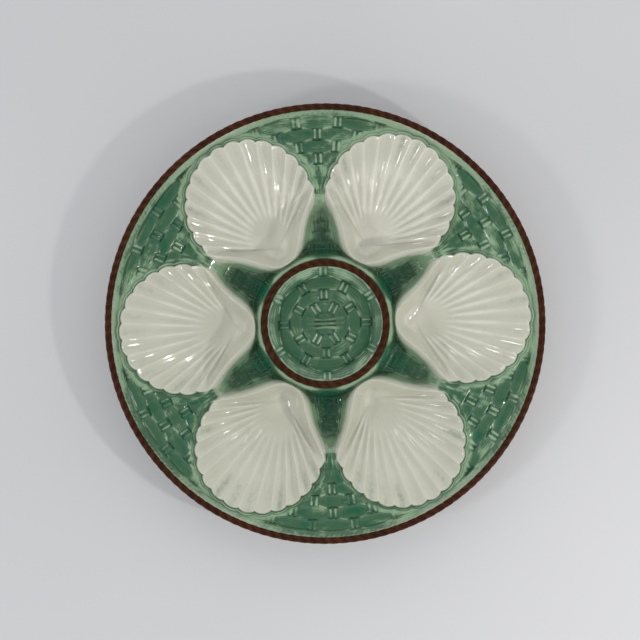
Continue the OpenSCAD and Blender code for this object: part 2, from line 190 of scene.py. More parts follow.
class Sizes:
    """The plate's sizes in millimetres, with the radii and heights worked out from them."""

    def __init__(self):
        group = bpy.context.scene.plate_sizes
        for key in PlateSizes.__annotations__:
            value = getattr(group, key)
            setattr(self, key, value if key == "flutes" else value / MM)
        self.rope_in_r = self.plate_r - self.rim_rope_w
        self.weave_out_r = self.rope_in_r - self.rim_band_w
        self.ring_in_r = self.ring_r - self.ring_rope_w
        self.trough_z = self.foot_h + self.wall_t
        self.web_rim_z = self.rim_seat + self.band_lift - self.weave_t
        self.web_slope = (self.web_rim_z - self.saddle_h) / (self.rope_in_r - self.saddle_r)
        self.lip_r = self.plate_r - self.rim_margin
        self.hinge_r = self.ring_r + self.hinge_gap
        half = math.sin(HALF_STEP)
        self.fan_r = (self.lip_r * half - self.band_w - self.web_gap / 2) / (1 + half)
        self.fan_c = self.lip_r - self.fan_r
        self.deep_x = self.hinge_r + DEEPEST_SHARE * (self.lip_r - self.hinge_r)
        self.focus_x = self.hinge_r + FOCUS_SHARE * (self.lip_r - self.hinge_r)
        self.well_z = self.foot_h + self.floor_t
        self.collar_r = self.ring_r + COLLAR_SHARE * self.hinge_gap
        self.trough_in_r = self.collar_r + TROUGH_IN_SHARE * (self.saddle_r - self.collar_r)
        self.trough_out_r = self.foot_r + TROUGH_OUT_SHARE * (self.saddle_r - self.foot_r)
        self.base_r = self.foot_r + self.base_margin
        self.centre_flat_r = CENTRE_FLAT_SHARE * self.ring_in_r
        self.centre_edge_z = self.ring_seat - self.centre_drop


# Heights of the body and of the shells' lips, in millimetres
def ease(t):
    """Smooth step from 0 to 1."""
    return (1 - np.cos(np.pi * np.clip(t, 0, 1))) / 2


def bell(t):
    """Bell curve, 1 at 0."""
    return np.exp(-t ** 2)


def mix(a, b, t):
    """The place at the share t of the way from a to b."""
    return a + (b - a) * t


def web_z(s, r):
    """Height of the body's upper side at radius r, outside the centre rope."""
    inner = mix(s.ring_seat, s.trough_z, ease((r - s.collar_r) / (s.trough_in_r - s.collar_r)))
    outer = mix(s.trough_z, s.saddle_h, ease((r - s.trough_out_r) / (s.saddle_r - s.trough_out_r)))
    rim = s.saddle_h + s.web_slope * (r - s.saddle_r)
    return np.where(r < s.trough_in_r, inner, np.where(r < s.saddle_r, outer, rim))


def under_z(s, r):
    """Height of the body's underside outside the centre."""
    rise = mix(s.foot_h, s.saddle_h - s.wall_t, ease((r - s.base_r) / (s.saddle_r + s.wall_t - s.base_r)))
    edge_r = s.plate_r - s.edge_t / 3
    share = np.clip((r - s.saddle_r - s.wall_t) / (edge_r - s.saddle_r - s.wall_t), 0, 1)
    return rise + share * (s.rim_seat - s.edge_t - s.saddle_h + s.wall_t)


def lip_z(s, r):
    """Height of a shell's lip at radius r."""
    out = (r - s.saddle_r) / (s.lip_r - s.saddle_r)
    rim = web_z(s, r) + s.weave_t + mix(s.saddle_rise, s.rim_rise, out)
    top = s.saddle_h + s.weave_t + s.saddle_rise
    hinge = mix(top, s.ring_seat + s.hinge_rise, ease((s.saddle_r - r) / (s.saddle_r - s.hinge_r)))
    return np.where(r > s.saddle_r, rim, hinge)


# Troughs between the shells, where the green pools
POOL_ROWS = (36.3, 41.3, 46.8, 52.4, 58.0, 62.5)
POOL_PAIR_OFF = 5.4
POOL_PAIR_STEP = 0.5
POOL_STAKE_OFF = 0.95
POOL_STAKE_HALF = 0.75
POOL_REACH_R = (36, 42, 60, 66)
POOL_REACH = (12.5, 11.0, 5.0, 2.0)
POOL_RELIEF = 0.42
POOL_LUMPS = 0.2
# Partly painted light: the troughs' base wash is thin, so their green is pale; part of this is thin glaze,
# and part lightens the shade in the deep troughs
POOL_THIN_GLAZE_AND_PAINTED_LIGHT = -0.78
POOL_COLUMN = 0.82
POOL_LUCK = (0.0, -0.2, 0.12, 0.05, 0.02, 0.15)


def trough_side(x, y):
    """Distance of points from the middle line of the nearest trough."""
    return np.abs(np.hypot(x, y) * np.sin(np.arctan2(y, x) % WELL_STEP - HALF_STEP))


def pool_weave(x, y):
    """Faint weave on the floors of the troughs, pairs of stakes and short weavers, from 0 to 1."""
    r = np.hypot(x, y)
    side = trough_side(x, y)
    height = np.zeros_like(r)
    for row, (low, high) in enumerate(zip(POOL_ROWS[:-1], POOL_ROWS[1:])):
        share = (r - low) / (high - low)
        inside = (share >= 0) & (share < 1)
        crown = np.sin(np.pi * np.clip(share, 0, 1)) ** 0.8
        pair = 0.0 if row % 2 == 0 else POOL_PAIR_OFF - POOL_PAIR_STEP * row
        off = np.abs(side - pair)
        weaver = crown * ease((off - 1.0) / 1.7)
        stake = np.clip(1 - (np.abs(off - POOL_STAKE_OFF) / POOL_STAKE_HALF) ** 2, 0, 1)
        height += inside * np.maximum(weaver, 0.95 * stake * crown ** 0.5)
    reach = np.interp(r, POOL_REACH_R, POOL_REACH)
    return height * ease((reach - side) / 3.0)


def lumps(x, y):
    """Uneven glaze, from -1 to 1."""
    coarse = np.sin(1.3 * x + 0.5 * y + 1) * np.sin(1.5 * y - 0.6 * x + 2)
    return 0.6 * coarse + 0.4 * np.sin(2.3 * x - 0.9 * y) * np.sin(1.1 * x + 2.2 * y + 3)


def pool_relief(s, x, y):
    """Height of the faint weave and the uneven glaze in the troughs."""
    r = np.hypot(x, y)
    inside = ease((r - s.collar_r) / 2) * ease((s.saddle_r - r) / 3)
    return POOL_RELIEF * pool_weave(x, y) + POOL_LUMPS * lumps(x, y) * inside


def pool_wash(x, y):
    """How thick the green lies in the troughs: deep along the middle and towards the centre, else thin. The
    thin base is partly thin glaze and partly painted light that pales the shade of the deep troughs.
    """
    r = np.hypot(x, y)
    side = trough_side(x, y)
    turn = np.arctan2(y, x) % (2 * np.pi)
    luck = np.array(POOL_LUCK)[np.floor(turn / WELL_STEP).astype(int) % WELLS]
    low = 0.34 * ease((52 - r) / 12) + 0.28 * ease((47 - r) / 8) * ease((15 - side) / 8)
    column = (POOL_COLUMN + luck) * bell(side / 6.2) * ease((69 - r) / 18)
    collar = 0.3 * bell((r - 39.5) / 1.3) - (0.25 + 0.4 * ease((side - 7) / 5)) * ease((37.8 - r) / 1.2)
    saddle = 0.35 * bell((r - 70) / 3)
    relief = 0.04 * lumps(x, y) - 0.25 * pool_weave(x, y)
    return POOL_THIN_GLAZE_AND_PAINTED_LIGHT + saddle + low + column + collar + relief


# Meshes
def solid_mesh(name, points, faces):
    """A mesh from points in millimetres and a list of faces."""
    mesh = bpy.data.meshes.new(name)
    mesh.from_pydata((np.asarray(points) * MM).tolist(), [], faces)
    mesh.update()
    return mesh


def ring_faces(low, high, n):
    """Squares between two closed rings of n points, outward where high lies inside or above low."""
    return [(low + i, low + (i + 1) % n, high + (i + 1) % n, high + i) for i in range(n)]


def cap_faces(ring, tip, n, below=False):
    """Triangles from a closed ring of n points to one point, on the upper side or on the lower one."""
    if below:
        return [(ring + (i + 1) % n, ring + i, tip) for i in range(n)]
    return [(ring + i, ring + (i + 1) % n, tip) for i in range(n)]


def set_value(mesh, name, values):
    """Stores one number per point on a mesh."""
    found = mesh.attributes.get(name) or mesh.attributes.new(name, "FLOAT", "POINT")
    found.data.foreach_set("value", np.asarray(values, np.float32))


def get_value(mesh, name):
    """One number per point, 0 where the mesh has none of that name."""
    values = np.zeros(len(mesh.vertices), np.float32)
    if name in mesh.attributes:
        mesh.attributes[name].data.foreach_get("value", values)
    return values


def get_points(mesh):
    """Points of a mesh in millimetres."""
    flat = np.zeros(len(mesh.vertices) * 3, np.float32)
    mesh.vertices.foreach_get("co", flat)
    return flat.reshape(-1, 3).astype(float) / MM


def new_object(mesh):
    """Links a mesh into the scene as an object at the origin."""
    made = bpy.data.objects.new(mesh.name, mesh)
    bpy.context.scene.collection.objects.link(made)
    return made


def plain_mesh(source):
    """The evaluated object as a plain mesh."""
    graph = bpy.context.evaluated_depsgraph_get()
    graph.update()
    return bpy.data.meshes.new_from_object(source.evaluated_get(graph), depsgraph=graph)


def settle(made, nodes, sharp):
    """Smooths the shading of a finished piece, ties it to the plate's body and hides the nodes it stands for.
    """
    made.data.shade_smooth()
    made.data.set_sharp_from_angle(angle=math.radians(sharp))
    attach(made, "root")
    if nodes:
        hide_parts(*nodes)


# Outlines of the shells
LOBE_STEPS = 20
SIDE_STEPS = 30
HINGE_STEPS = 44
CORNER_ROUNDS = 60
SHELL_SEED = 40
SKIRT_LOBES = 0.8


def lobe(phase):
    """Outline of one lobe: 0 at the cusps, 1 in the middle."""
    return np.abs(np.sin(np.pi * phase)) ** 0.75


def soften(points, weight):
    """Rounds the corners of a closed outline where weight is 1."""
    for _ in range(CORNER_ROUNDS):
        mean = (np.roll(points, 1, 0) + np.roll(points, -1, 0)) / 2
        points = points + 0.5 * weight[:, None] * (mean - points)
    return points


def shell_outline(s, grow_fan, grow_corner, grow_side, grow_hinge, bow, lobes):
    """One closed outline with the shell's axis along +X: fan, side, hinge end and side."""
    steps = s.flutes * LOBE_STEPS
    place = np.arange(steps + 1)
    a = mix(-FAN_HALF_ANGLE, FAN_HALF_ANGLE, place / steps)
    corner = ease(1 - np.minimum(place, steps - place) / (1.2 * LOBE_STEPS))
    flute = np.minimum(place // LOBE_STEPS, s.flutes - 1)
    bulge = s.lobe_bulge * lobes[flute] * (lobe(place / LOBE_STEPS) - 1)
    r = s.fan_r + mix(grow_fan, grow_corner, corner) + bulge
    fan = np.stack([s.fan_c + r * np.cos(a), r * np.sin(a)], 1)
    t = np.linspace(1, -1, HINGE_STEPS + 1)
    hinge_x = s.hinge_r - grow_hinge + s.hinge_bow * t * t
    hinge = np.stack([hinge_x, (s.hinge_w / 2 + grow_side) * t], 1)

    def side(start, end):
        share = (np.arange(1, SIDE_STEPS) / SIDE_STEPS)[:, None]
        run = (end - start) / np.linalg.norm(end - start)
        inward = np.array([-run[1], run[0]])
        return mix(start, end, share) + inward * bow * 4 * share * (1 - share)

    points = np.concatenate([fan, side(fan[-1], hinge[0]), hinge, side(hinge[-1], fan[0])])
    weight = np.ones(len(points))
    weight[LOBE_STEPS // 3: steps - LOBE_STEPS // 3] = 0
    return soften(points, weight)


def shell_luck(s, k):
    """Uneven lobes, depths and tints of the flutes of one shell."""
    rng = np.random.default_rng(SHELL_SEED + k)
    return [rng.uniform(low, high, s.flutes) for low, high in ((0.85, 1.15), (0.85, 1.15), (0.0, 1.0))]


def skirt_outline(s, lobes):
    """Outline on which a shell meets the body."""
    return shell_outline(s, s.band_w, s.corner_w, s.flank_w, s.hinge_skirt, 0, lobes * SKIRT_LOBES)


def turned(x, y, k):
    """Points drawn for a shell along +X, carried round the plate to shell k."""
    turn = k * WELL_STEP
    return x * np.cos(turn) - y * np.sin(turn), x * np.sin(turn) + y * np.cos(turn)


# Scallop wells
BAND_MIDDLE = 0.65
BAND_HALF = 0.62
GROOVE = 1.4
SUNK = 0.14
EDGE_RINGS = 26
BOWL_RINGS = 58
BOWL_POWER = 2.2
BELLY_SHARES = (0.9, 0.75, 0.6, 0.45, 0.3, 0.15)
FLANK_LINES = 4.5
SPILL_LINES = 6.5
SPILL_R = (40, 46, 54, 60, 66, 70)
SPILL_SHARES = (0.5, 0.6, 0.6, 0.48, 0.15, -0.2)
SPILL_WIDE = 0.62


def smoothed(ring, waves):
    """Values round a closed ring without the waves that are shorter than so many to a turn."""
    parts = np.fft.rfft(ring)
    return np.fft.irfft(parts * bell(np.arange(len(parts)) / waves), len(ring))


class ShellForm:
    """Outlines, flutes and lip of one shell, from which its rings of points are drawn."""

    def __init__(self, s, k):
        lobes, depths, tints = shell_luck(s, k)
        self.s = s
        self.k = k
        self.skirt = skirt_outline(s, lobes)
        self.crest = shell_outline(s, -s.margin_w, -s.margin_w, 0, 0, s.side_bow, lobes)
        self.n = len(self.crest)
        place = np.arange(self.n)
        self.place = place
        steps = s.flutes * LOBE_STEPS
        on_fan = place <= steps
        from_end = np.minimum(place, steps - place)
        self.fan_share = np.where(on_fan, ease(from_end / (0.8 * LOBE_STEPS)), 0)
        flute = np.clip(place // LOBE_STEPS, 0, s.flutes - 1)
        wave = np.minimum(np.sqrt(np.sin(np.pi * place / LOBE_STEPS) ** 2 + 0.035), 1)
        fade = ease(from_end / (0.5 * LOBE_STEPS))
        ridge = np.where(on_fan, (0.57 - wave ** 1.2) * depths[flute] * fade, 0)
        self.flutes = s.flute_depth * ridge
        self.tinted = (0.1 + 0.3 * tints[flute]) * self.fan_share * wave ** 2
        lip = lip_z(s, np.hypot(*self.crest.T)) + self.flutes
        self.lip = lip + 0.12 * np.sin(place * 0.021 + k) + 0.08 * np.sin(place * 0.055 + 2 * k)
        self.foot = web_z(s, np.hypot(*self.skirt.T)) + pool_relief(s, *turned(*self.skirt.T, k))
        self.streak = np.sin(place * 0.9) * 0.5 + np.sin(place * 0.37 + k) * 0.5

    def drawn_in(self, outline, t):
        """An outline drawn in towards the deepest point along bent paths. It is whole where t is 1."""
        deep = np.array([self.s.deep_x, 0.0])
        bend = mix(np.array([self.s.focus_x, 0.0]), outline, 0.5)
        return deep * (1 - t) ** 2 + bend * 2 * t * (1 - t) + outline * t * t

    def edge_ring(self, w):
        """Points, cream and wash of one ring of the edge, at the share w from the skirt to the crest."""
        s, k, place = self.s, self.k, self.place
        flat = mix(self.skirt, self.crest, w)
        reach = np.hypot(*flat.T)
        span = s.band_w + s.margin_w
        d = w * span
        low = web_z(s, reach) + s.weave_t - SUNK
        bead = (SUNK + s.band_rise) * math.exp(-((d - BAND_MIDDLE) / BAND_HALF) ** 4) * ease(w / 0.1)
        fan = low + bead + (self.lip - low) * ease((d - GROOVE) / (span - GROOVE))
        lines = 0.1 * math.sin(2 * math.pi * FLANK_LINES * w) * math.sin(math.pi * w)
        flank = mix(self.foot, self.lip, ease(w ** 1.1)) + lines
        edge = ease((d - 0.85) / 1.5) * (1 - self.tinted)
        spread_in = ease((w - np.interp(reach, SPILL_R, SPILL_SHARES)) / SPILL_WIDE + 0.5)
        dark = 0.12 * np.sin(place * 0.017 + 1.7 * k) ** 2
        lit = 0.16 + 0.24 * np.sin(place * 0.011 + 2.3 * k) ** 2
        band = dark * bell((d - GROOVE) / 0.3) - lit * bell((d - BAND_MIDDLE) / 0.55)
        runs = 0.18 * math.sin(2 * math.pi * SPILL_LINES * w) + 0.12 * self.streak
        spill = pool_wash(*turned(*flat.T, k)) + runs * ease(w / 0.15)
        spill = spill + (1.2 - spill) * ease((w - 0.72) / 0.25)
        points = np.column_stack([flat, mix(flank, fan, self.fan_share)])
        return points, mix(spread_in, edge, self.fan_share), mix(spill, band, self.fan_share)

    def bowl_ring(self, t):
        """Points, cream and wash of one ring of the bowl, at the share t from the bottom to the crest."""
        z = mix(self.s.well_z, self.lip - self.flutes, t ** BOWL_POWER) + self.flutes * t ** 0.4
        z = smoothed(z, 5 + 70 * ease((t - 0.22) / 0.4))
        swing = 0.5 + 0.5 * np.cos(2 * np.pi * self.place / self.n + 1.9 * self.k)
        wash = 0.6 * ease((t - 0.6) / 0.3) + 0.6 * (1 - self.fan_share) * ease((t - 0.8) / 0.15)
        wash = wash + 0.35 * ease((0.36 - t) / 0.1) * swing
        points = np.column_stack([self.drawn_in(self.crest, t), z])
        return points, 1 - self.tinted * ease((t - 0.62) / 0.3), wash

    def upper_side(self):
        """Rings from the skirt over the lip to the deepest point, and the cream and wash on them."""
        rings = [self.edge_ring(w) for w in np.linspace(0, 1, EDGE_RINGS)]
        rings += [self.bowl_ring(t) for t in 1 - (np.arange(1, BOWL_RINGS) / BOWL_RINGS) ** 1.15]
        grid, creams, washes = (np.array(part) for part in zip(*rings))
        for reach, rounds, weight in ((6, 10, 1), (14, 70, 1 - self.fan_share)):
            near = grid[EDGE_RINGS - reach: EDGE_RINGS + reach, :, 2]
            for _ in range(rounds):
                near[1:-1] += weight * (0.25 * (near[:-2] + near[2:]) - 0.5 * near[1:-1])
        return grid, creams, washes

    def belly(self):
        """Rings of the underside, from the skirt in to the deepest point."""
        s = self.s
        skirt_z = under_z(s, np.hypot(*self.skirt.T))
        rings = [np.column_stack([self.skirt, skirt_z])]
        for t in BELLY_SHARES:
            z = mix(s.foot_h, skirt_z, max(0, (t - 0.35) / 0.65) ** 1.3)
            rings.append(np.column_stack([self.drawn_in(self.skirt, t), z]))
        return np.array(rings)


def shell_mesh(s, k):
    """One scallop well as a closed solid, with its cream and wash on each point."""
    form = ShellForm(s, k)
    grid, creams, washes = form.upper_side()
    belly = form.belly()
    n = form.n
    points = np.concatenate([grid.reshape(-1, 3), [[s.deep_x, 0, s.well_z]],
                             belly.reshape(-1, 3), [[s.deep_x, 0, s.foot_h]]])
    deepest = len(grid) * n
    skirt = deepest + 1
    last = skirt + (len(belly) - 1) * n
    faces = []
    for ring in range(len(grid) - 1):
        faces += ring_faces(ring * n, (ring + 1) * n, n)
    faces += cap_faces(deepest - n, deepest, n)
    faces += ring_faces(skirt, 0, n)
    for ring in range(len(belly) - 1):
        faces += ring_faces(skirt + (ring + 1) * n, skirt + ring * n, n)
    faces += cap_faces(last, last + n, n, below=True)
    points[:, :2] = np.column_stack(turned(*points[:, :2].T, k))
    mesh = solid_mesh(SHELLS[k], points, faces)
    for name, rest, paint in (("cream", 1.0, creams), ("wash", 0.0, washes)):
        values = np.full(len(points), rest)
        values[:deepest] = paint.reshape(-1)
        set_value(mesh, name, values)
    return mesh


# Turned body. A height of None in its section stands for the upper side at that radius
BODY_TURNS = 720
CORE_R = 12.0
POOL_RINGS_R = 78.2
POOL_RING_STEP = 0.42
WEB_RINGS_R = 80
UNDER_RINGS = 34
BASE_IN_R = 46
ROOM_FLOOR = -5.0
ROOM_TOP = 40.0


def body_profile(s):
    """Section of the body, from the middle of the top to the rim and back to the middle below."""
    slope = (s.centre_edge_z - s.centre_h) / (s.ring_in_r - s.centre_flat_r)
    dome_z = s.centre_h - s.wall_t
    dome_r = s.centre_flat_r + s.wall_t * math.tan(math.atan(slope) / 2)
    hollow_r = (s.ring_in_r + s.ring_r) / 2
    hollow_z = dome_z + slope * (hollow_r - dome_r)
    top = [(CORE_R, s.centre_h), (s.centre_flat_r, s.centre_h), (s.ring_in_r, s.centre_edge_z),
           (s.ring_in_r, s.ring_seat), (s.ring_r - 0.4, s.ring_seat)]
    top += [(r, None) for r in np.arange(s.ring_r, POOL_RINGS_R, POOL_RING_STEP)]
    top += [(r, None) for r in np.linspace(WEB_RINGS_R, s.weave_out_r + 1, 5)]
    top += [(s.rope_in_r - 0.6, None), (s.rope_in_r, s.rim_seat), (s.plate_r - 0.35, s.rim_seat),
            (s.plate_r - 0.12, s.rim_seat - 0.08), (s.plate_r, s.rim_seat - 0.35)]
    rim_z = s.rim_seat - s.edge_t
    under = [(s.plate_r, rim_z + s.edge_t / 3 + 0.6), (s.plate_r - 0.15, rim_z + s.edge_t / 3),
             (s.plate_r - 0.5, rim_z + 0.35), (s.plate_r - s.edge_t / 3, rim_z)]
    under += [(r, float(under_z(s, np.array(r)))) for r in np.linspace(s.plate_r - 3, s.base_r, UNDER_RINGS)]
    under += [(s.foot_r, s.foot_h), (BASE_IN_R, s.foot_h), (s.ring_r + 1.5, s.foot_h),
              (s.ring_r + 0.3, s.foot_h + 0.35), (s.ring_r - 0.3, s.foot_h + 1.6)]
    under += [(hollow_r + 0.8, hollow_z - 3), (hollow_r + 0.3, hollow_z - 1), (hollow_r, hollow_z - 0.5),
              (hollow_r - 0.9, hollow_z - 1.0), (dome_r + 1, dome_z + slope), (dome_r, dome_z + 0.3),
              (dome_r - 1.5, dome_z), (CORE_R, dome_z)]
    return top + under


def body_mesh(s):
    """The turned body before the shells are let in."""
    a = np.arange(BODY_TURNS) * 2 * np.pi / BODY_TURNS
    rings = []
    for r, z in body_profile(s):
        x, y = r * np.cos(a), r * np.sin(a)
        if z is None:
            z = web_z(s, np.full(BODY_TURNS, r)) + pool_relief(s, x, y)
        rings.append(np.column_stack([x, y, np.broadcast_to(z, BODY_TURNS)]))
    tip = len(rings) * BODY_TURNS
    points = np.concatenate(rings + [np.array([[0, 0, s.centre_h], [0, 0, s.centre_h - s.wall_t]])])
    faces = []
    for ring in range(len(rings) - 1):
        faces += ring_faces((ring + 1) * BODY_TURNS, ring * BODY_TURNS, BODY_TURNS)
    faces += cap_faces(0, tip, BODY_TURNS)
    faces += cap_faces(tip - BODY_TURNS, tip + 1, BODY_TURNS, below=True)
    return solid_mesh("plate_body", points, faces)


def room_mesh(s):
    """Prisms with the outlines of the six skirts, to cut room for the shells."""
    points, faces = [], []
    for k in range(WELLS):
        x, y = turned(*skirt_outline(s, shell_luck(s, k)[0]).T, k)
        n = len(x)
        base = 2 * n * k
        points += [np.column_stack([x, y, np.full(n, z)]) for z in (ROOM_FLOOR, ROOM_TOP)]
        faces += ring_faces(base, base + n, n)
        faces.append(tuple(range(base + n, base + 2 * n)))
        faces.append(tuple(range(base + n - 1, base - 1, -1)))
    return solid_mesh("shell_rooms", np.concatenate(points), faces)


# Node trees
def feed(tree, socket, value):
    """Links a field or another node's output to a socket, or writes a plain value into it."""
    if isinstance(value, Field):
        tree.links.new(value.socket, socket)
    elif isinstance(value, bpy.types.NodeSocket):
        tree.links.new(value, socket)
    else:
        socket.default_value = value


def add_node(tree, kind, inputs, **settings):
    """Adds a node, sets its properties, and feeds its inputs."""
    node = tree.nodes.new(kind)
    for key, value in settings.items():
        setattr(node, key, value)
    for key, value in inputs.items():
        feed(tree, node.inputs[key], value)
    return node


class Field:
    """A value in a node tree. Arithmetic on it adds Math nodes to that tree."""

    def __init__(self, tree, socket):
        self.tree = tree
        self.socket = socket

    def math(self, operation, *others):
        inputs = dict(enumerate((self, *others)))
        return Field(self.tree, add_node(self.tree, "ShaderNodeMath", inputs, operation=operation).outputs[0])

    def __rsub__(self, other):
        return (self * -1) + other

    __add__ = __radd__ = partialmethod(math, "ADD")
    __sub__ = partialmethod(math, "SUBTRACT")
    __mul__ = __rmul__ = partialmethod(math, "MULTIPLY")
    __truediv__ = partialmethod(math, "DIVIDE")
    __pow__ = partialmethod(math, "POWER")
    abs = partialmethod(math, "ABSOLUTE")
    sine = partialmethod(math, "SINE")
    cosine = partialmethod(math, "COSINE")
    most = partialmethod(math, "MAXIMUM")
    least = partialmethod(math, "MINIMUM")
    above = partialmethod(math, "GREATER_THAN")

    def part(self, low, high):
        """Smooth step of this value from low to high."""
        node = add_node(self.tree, "ShaderNodeMapRange", {"Value": self, "From Min": low, "From Max": high},
                        interpolation_type="SMOOTHSTEP")
        return Field(self.tree, node.outputs["Result"])


SOCKETS = {float: "NodeSocketFloat", int: "NodeSocketInt", tuple: "NodeSocketColor",
           type(None): "NodeSocketMaterial"}


def new_tree(name, kind, inputs, outputs):
    """A node group with named sockets. Returns the tree, its inputs as fields and its output node."""
    tree = bpy.data.node_groups.new(name, kind)
    for text, default in inputs.items():
        item = tree.interface.new_socket(text, in_out="INPUT", socket_type=SOCKETS[type(default)])
        if default is not None:
            item.default_value = default
    for text, socket_type in outputs.items():
        tree.interface.new_socket(text, in_out="OUTPUT", socket_type=socket_type)
    entry = tree.nodes.new("NodeGroupInput")
    last = tree.nodes.new("NodeGroupOutput")
    return tree, {text: Field(tree, entry.outputs[text]) for text in inputs}, last


def growing_tree(name, inputs):
    """A Geometry Nodes tree with named sizes and a glaze, out of which comes a mesh."""
    return new_tree(name, "GeometryNodeTree", {**inputs, "Glaze": None}, {"Geometry": "NodeSocketGeometry"})


def close_tree(tree, f, last, mesh):
    """Ends a growing tree in Realize Instances and Set Material."""
    real = add_node(tree, "GeometryNodeRealizeInstances", {0: mesh})
    paint = add_node(tree, "GeometryNodeSetMaterial", {"Geometry": real.outputs[0], "Material": f["Glaze"]})
    feed(tree, last.inputs["Geometry"], paint.outputs[0])
    return tree


def grown(name, tree, values):
    """Runs a Geometry Nodes tree on an empty mesh and returns the result as an object with a plain mesh."""
    holder = new_object(bpy.data.meshes.new(name + "_seed"))
    modifier = holder.modifiers.new("Grow", "NODES")
    modifier.node_group = tree
    keys = {item.name: item.identifier for item in tree.interface.items_tree if item.item_type == "SOCKET"}
    for text, value in values.items():
        modifier[keys[text]] = value
    mesh = plain_mesh(holder)
    mesh.name = name
    bpy.data.objects.remove(holder)
    return new_object(mesh)


def shared(name, make):
    """A material or node group that is made once and then found by its name."""
    return bpy.data.materials.get(name) or bpy.data.node_groups.get(name) or make()


def place_of(tree, vector):
    """The three coordinates of a vector, as fields."""
    split = add_node(tree, "ShaderNodeSeparateXYZ", {0: vector})
    return [Field(tree, split.outputs[axis]) for axis in range(3)]


def positions(tree):
    """The place of each point of the mesh in a growing tree."""
    return place_of(tree, tree.nodes.new("GeometryNodeInputPosition").outputs[0])


def joined(tree, x, y, z):
    """Three numbers as one vector."""
    return add_node(tree, "ShaderNodeCombineXYZ", {0: x, 1: y, 2: z}).outputs[0]


def put_points(tree, mesh, x, y, z):
    """Moves every point of a mesh to x, y and z."""
    place = joined(tree, x, y, z)
    return add_node(tree, "GeometryNodeSetPosition", {"Geometry": mesh, "Position": place}).outputs[0]


def store(tree, mesh, name, value):
    """Stores a value on every point of a mesh."""
    node = add_node(tree, "GeometryNodeStoreNamedAttribute", {"Name": name, "Geometry": mesh, "Value": value},
                    data_type="FLOAT", domain="POINT")
    return node.outputs[0]


def block_of(tree, x_count, y_count):
    """A block of squares, 2 by 2 by 2, with only an upper and a lower layer of points."""
    node = add_node(tree, "GeometryNodeMeshCube", {"Size": (2, 2, 2), "Vertices Z": 2, "Vertices X": x_count,
                                                   "Vertices Y": y_count})
    return node.outputs["Mesh"]


def noise(tree, scale, detail, vector=None, seed=0.0):
    """A noise value in a tree, on positions unless a vector is given."""
    inputs = {"Scale": scale, "Detail": detail, "W": seed}
    if vector is not None:
        inputs["Vector"] = vector
    return Field(tree, add_node(tree, "ShaderNodeTexNoise", inputs, noise_dimensions="4D").outputs[0])


def drawn(tree, x, y, z):
    """A number from -1 to 1, drawn once for each brick or pair of stakes."""
    return noise(tree, 1.0, 0.0, joined(tree, x, y, z)) * 2.0 - 1.0


# Basketwork and woven centre
WEAVE_SIZES = {"Thickness": 0.0016, "Stake width": 0.0015, "Stake gap": 0.0013, "Stake rise": 0.00035}
LENS_PINCH = 0.58
FURROW_DEPTH = 0.2
PLAIN_ROW = 3.5
OUT_OF_REACH = 20.0
PANEL_STRANDS = 5.5
CENTRE_STRANDS = 4.0
BLOCK_SINK = 0.0002
CENTRE_ROWS = (1.0, CENTRE_FLAT_SHARE, 0.613, 0.415, 0.19)
CENTRE_PALE = (0.3, 0.14, 0.05, 0.0)


def woven_group():
    """Node group: height and wash of one woven row, with a painted highlight along the stakes' crests. Its
    weavers swell between two pairs of stakes.
    """
    inputs = {"Across": 0.5, "To pair": 0.005, "Reach": 0.02, "Strands": 3.0, "Wander": 0.0, "Luck": 0.0}
    tree, f, last = new_tree("Woven Row", "GeometryNodeTree", {**inputs, **WEAVE_SIZES},
                             {"Height": "NodeSocketFloat", "Wash": "NodeSocketFloat"})
    thick, stake_w, stake_gap = f["Thickness"], f["Stake width"], f["Stake gap"]
    across = f["Across"].most(0.0).least(1.0)
    half = stake_w + stake_gap * 0.5
    near = ((f["Reach"] - f["To pair"]) / (f["Reach"] - half)).most(0.0).least(1.0)
    lens = 1.1 - (near ** 2.0) * LENS_PINCH
    v = (across - 0.5) * 2.0 / lens
    dome = (1.0 - v * v).most(0.0) ** 0.5
    inside = dome.part(0.0, 0.45)
    clear = f["To pair"].part(half * 0.9, half + stake_w * 1.3)
    strand = ((v + f["Wander"]) * f["Strands"] * math.pi * 0.5).sine().abs()
    furrow = (1.0 - strand ** 0.5) * dome * (near ** 1.5 * 0.85 + 0.15)
    weaver = (dome * 0.5 + 0.5) * (clear * 0.3 + 0.7) - furrow * clear * FURROW_DEPTH
    off = (f["To pair"] - (stake_w + stake_gap) * 0.5).abs()
    bar = (1.0 - ((off / (stake_w * 0.64)) ** 2.0)).most(0.0) ** 0.5
    ends = across.part(0.0, 0.14) * (1.0 - across).part(0.03, 0.2)
    under = across.part(0.86, 0.94) * (1.0 - f["To pair"].part(half, half * 1.5))
    stake = (thick * 0.86 + f["Stake rise"]) * (bar * 0.75 + 0.25) * bar.above(0.001) * ends
    height = ((weaver - under * 0.15) * thick).math("SMOOTH_MAX", stake, thick * 0.1)
    beside = (1.0 - clear) * (1.0 - bar * ends)
    # The narrow pale stripe along each stake's crest, from bar ** 5, is partly glaze thinned on the crest and
    # partly a painted highlight
    wash = (1.0 - inside) * clear * -0.36 + beside * 0.18 - (bar ** 5.0) * ends * 0.18 + under * 0.16
    wash = wash + f["Luck"] * (inside * 0.2 + 0.1) + furrow * clear * 0.85
    feed(tree, last.inputs["Height"], height)
    feed(tree, last.inputs["Wash"], wash)
    return tree


def woven_row(tree, f, inputs):
    """Height and wash of one woven row of a growing tree."""
    sizes = {key: f[key] for key in WEAVE_SIZES}
    group = shared("Woven Row", woven_group)
    node = add_node(tree, "GeometryNodeGroup", {**sizes, **inputs}, node_tree=group)
    return Field(tree, node.outputs["Height"]), Field(tree, node.outputs["Wash"])


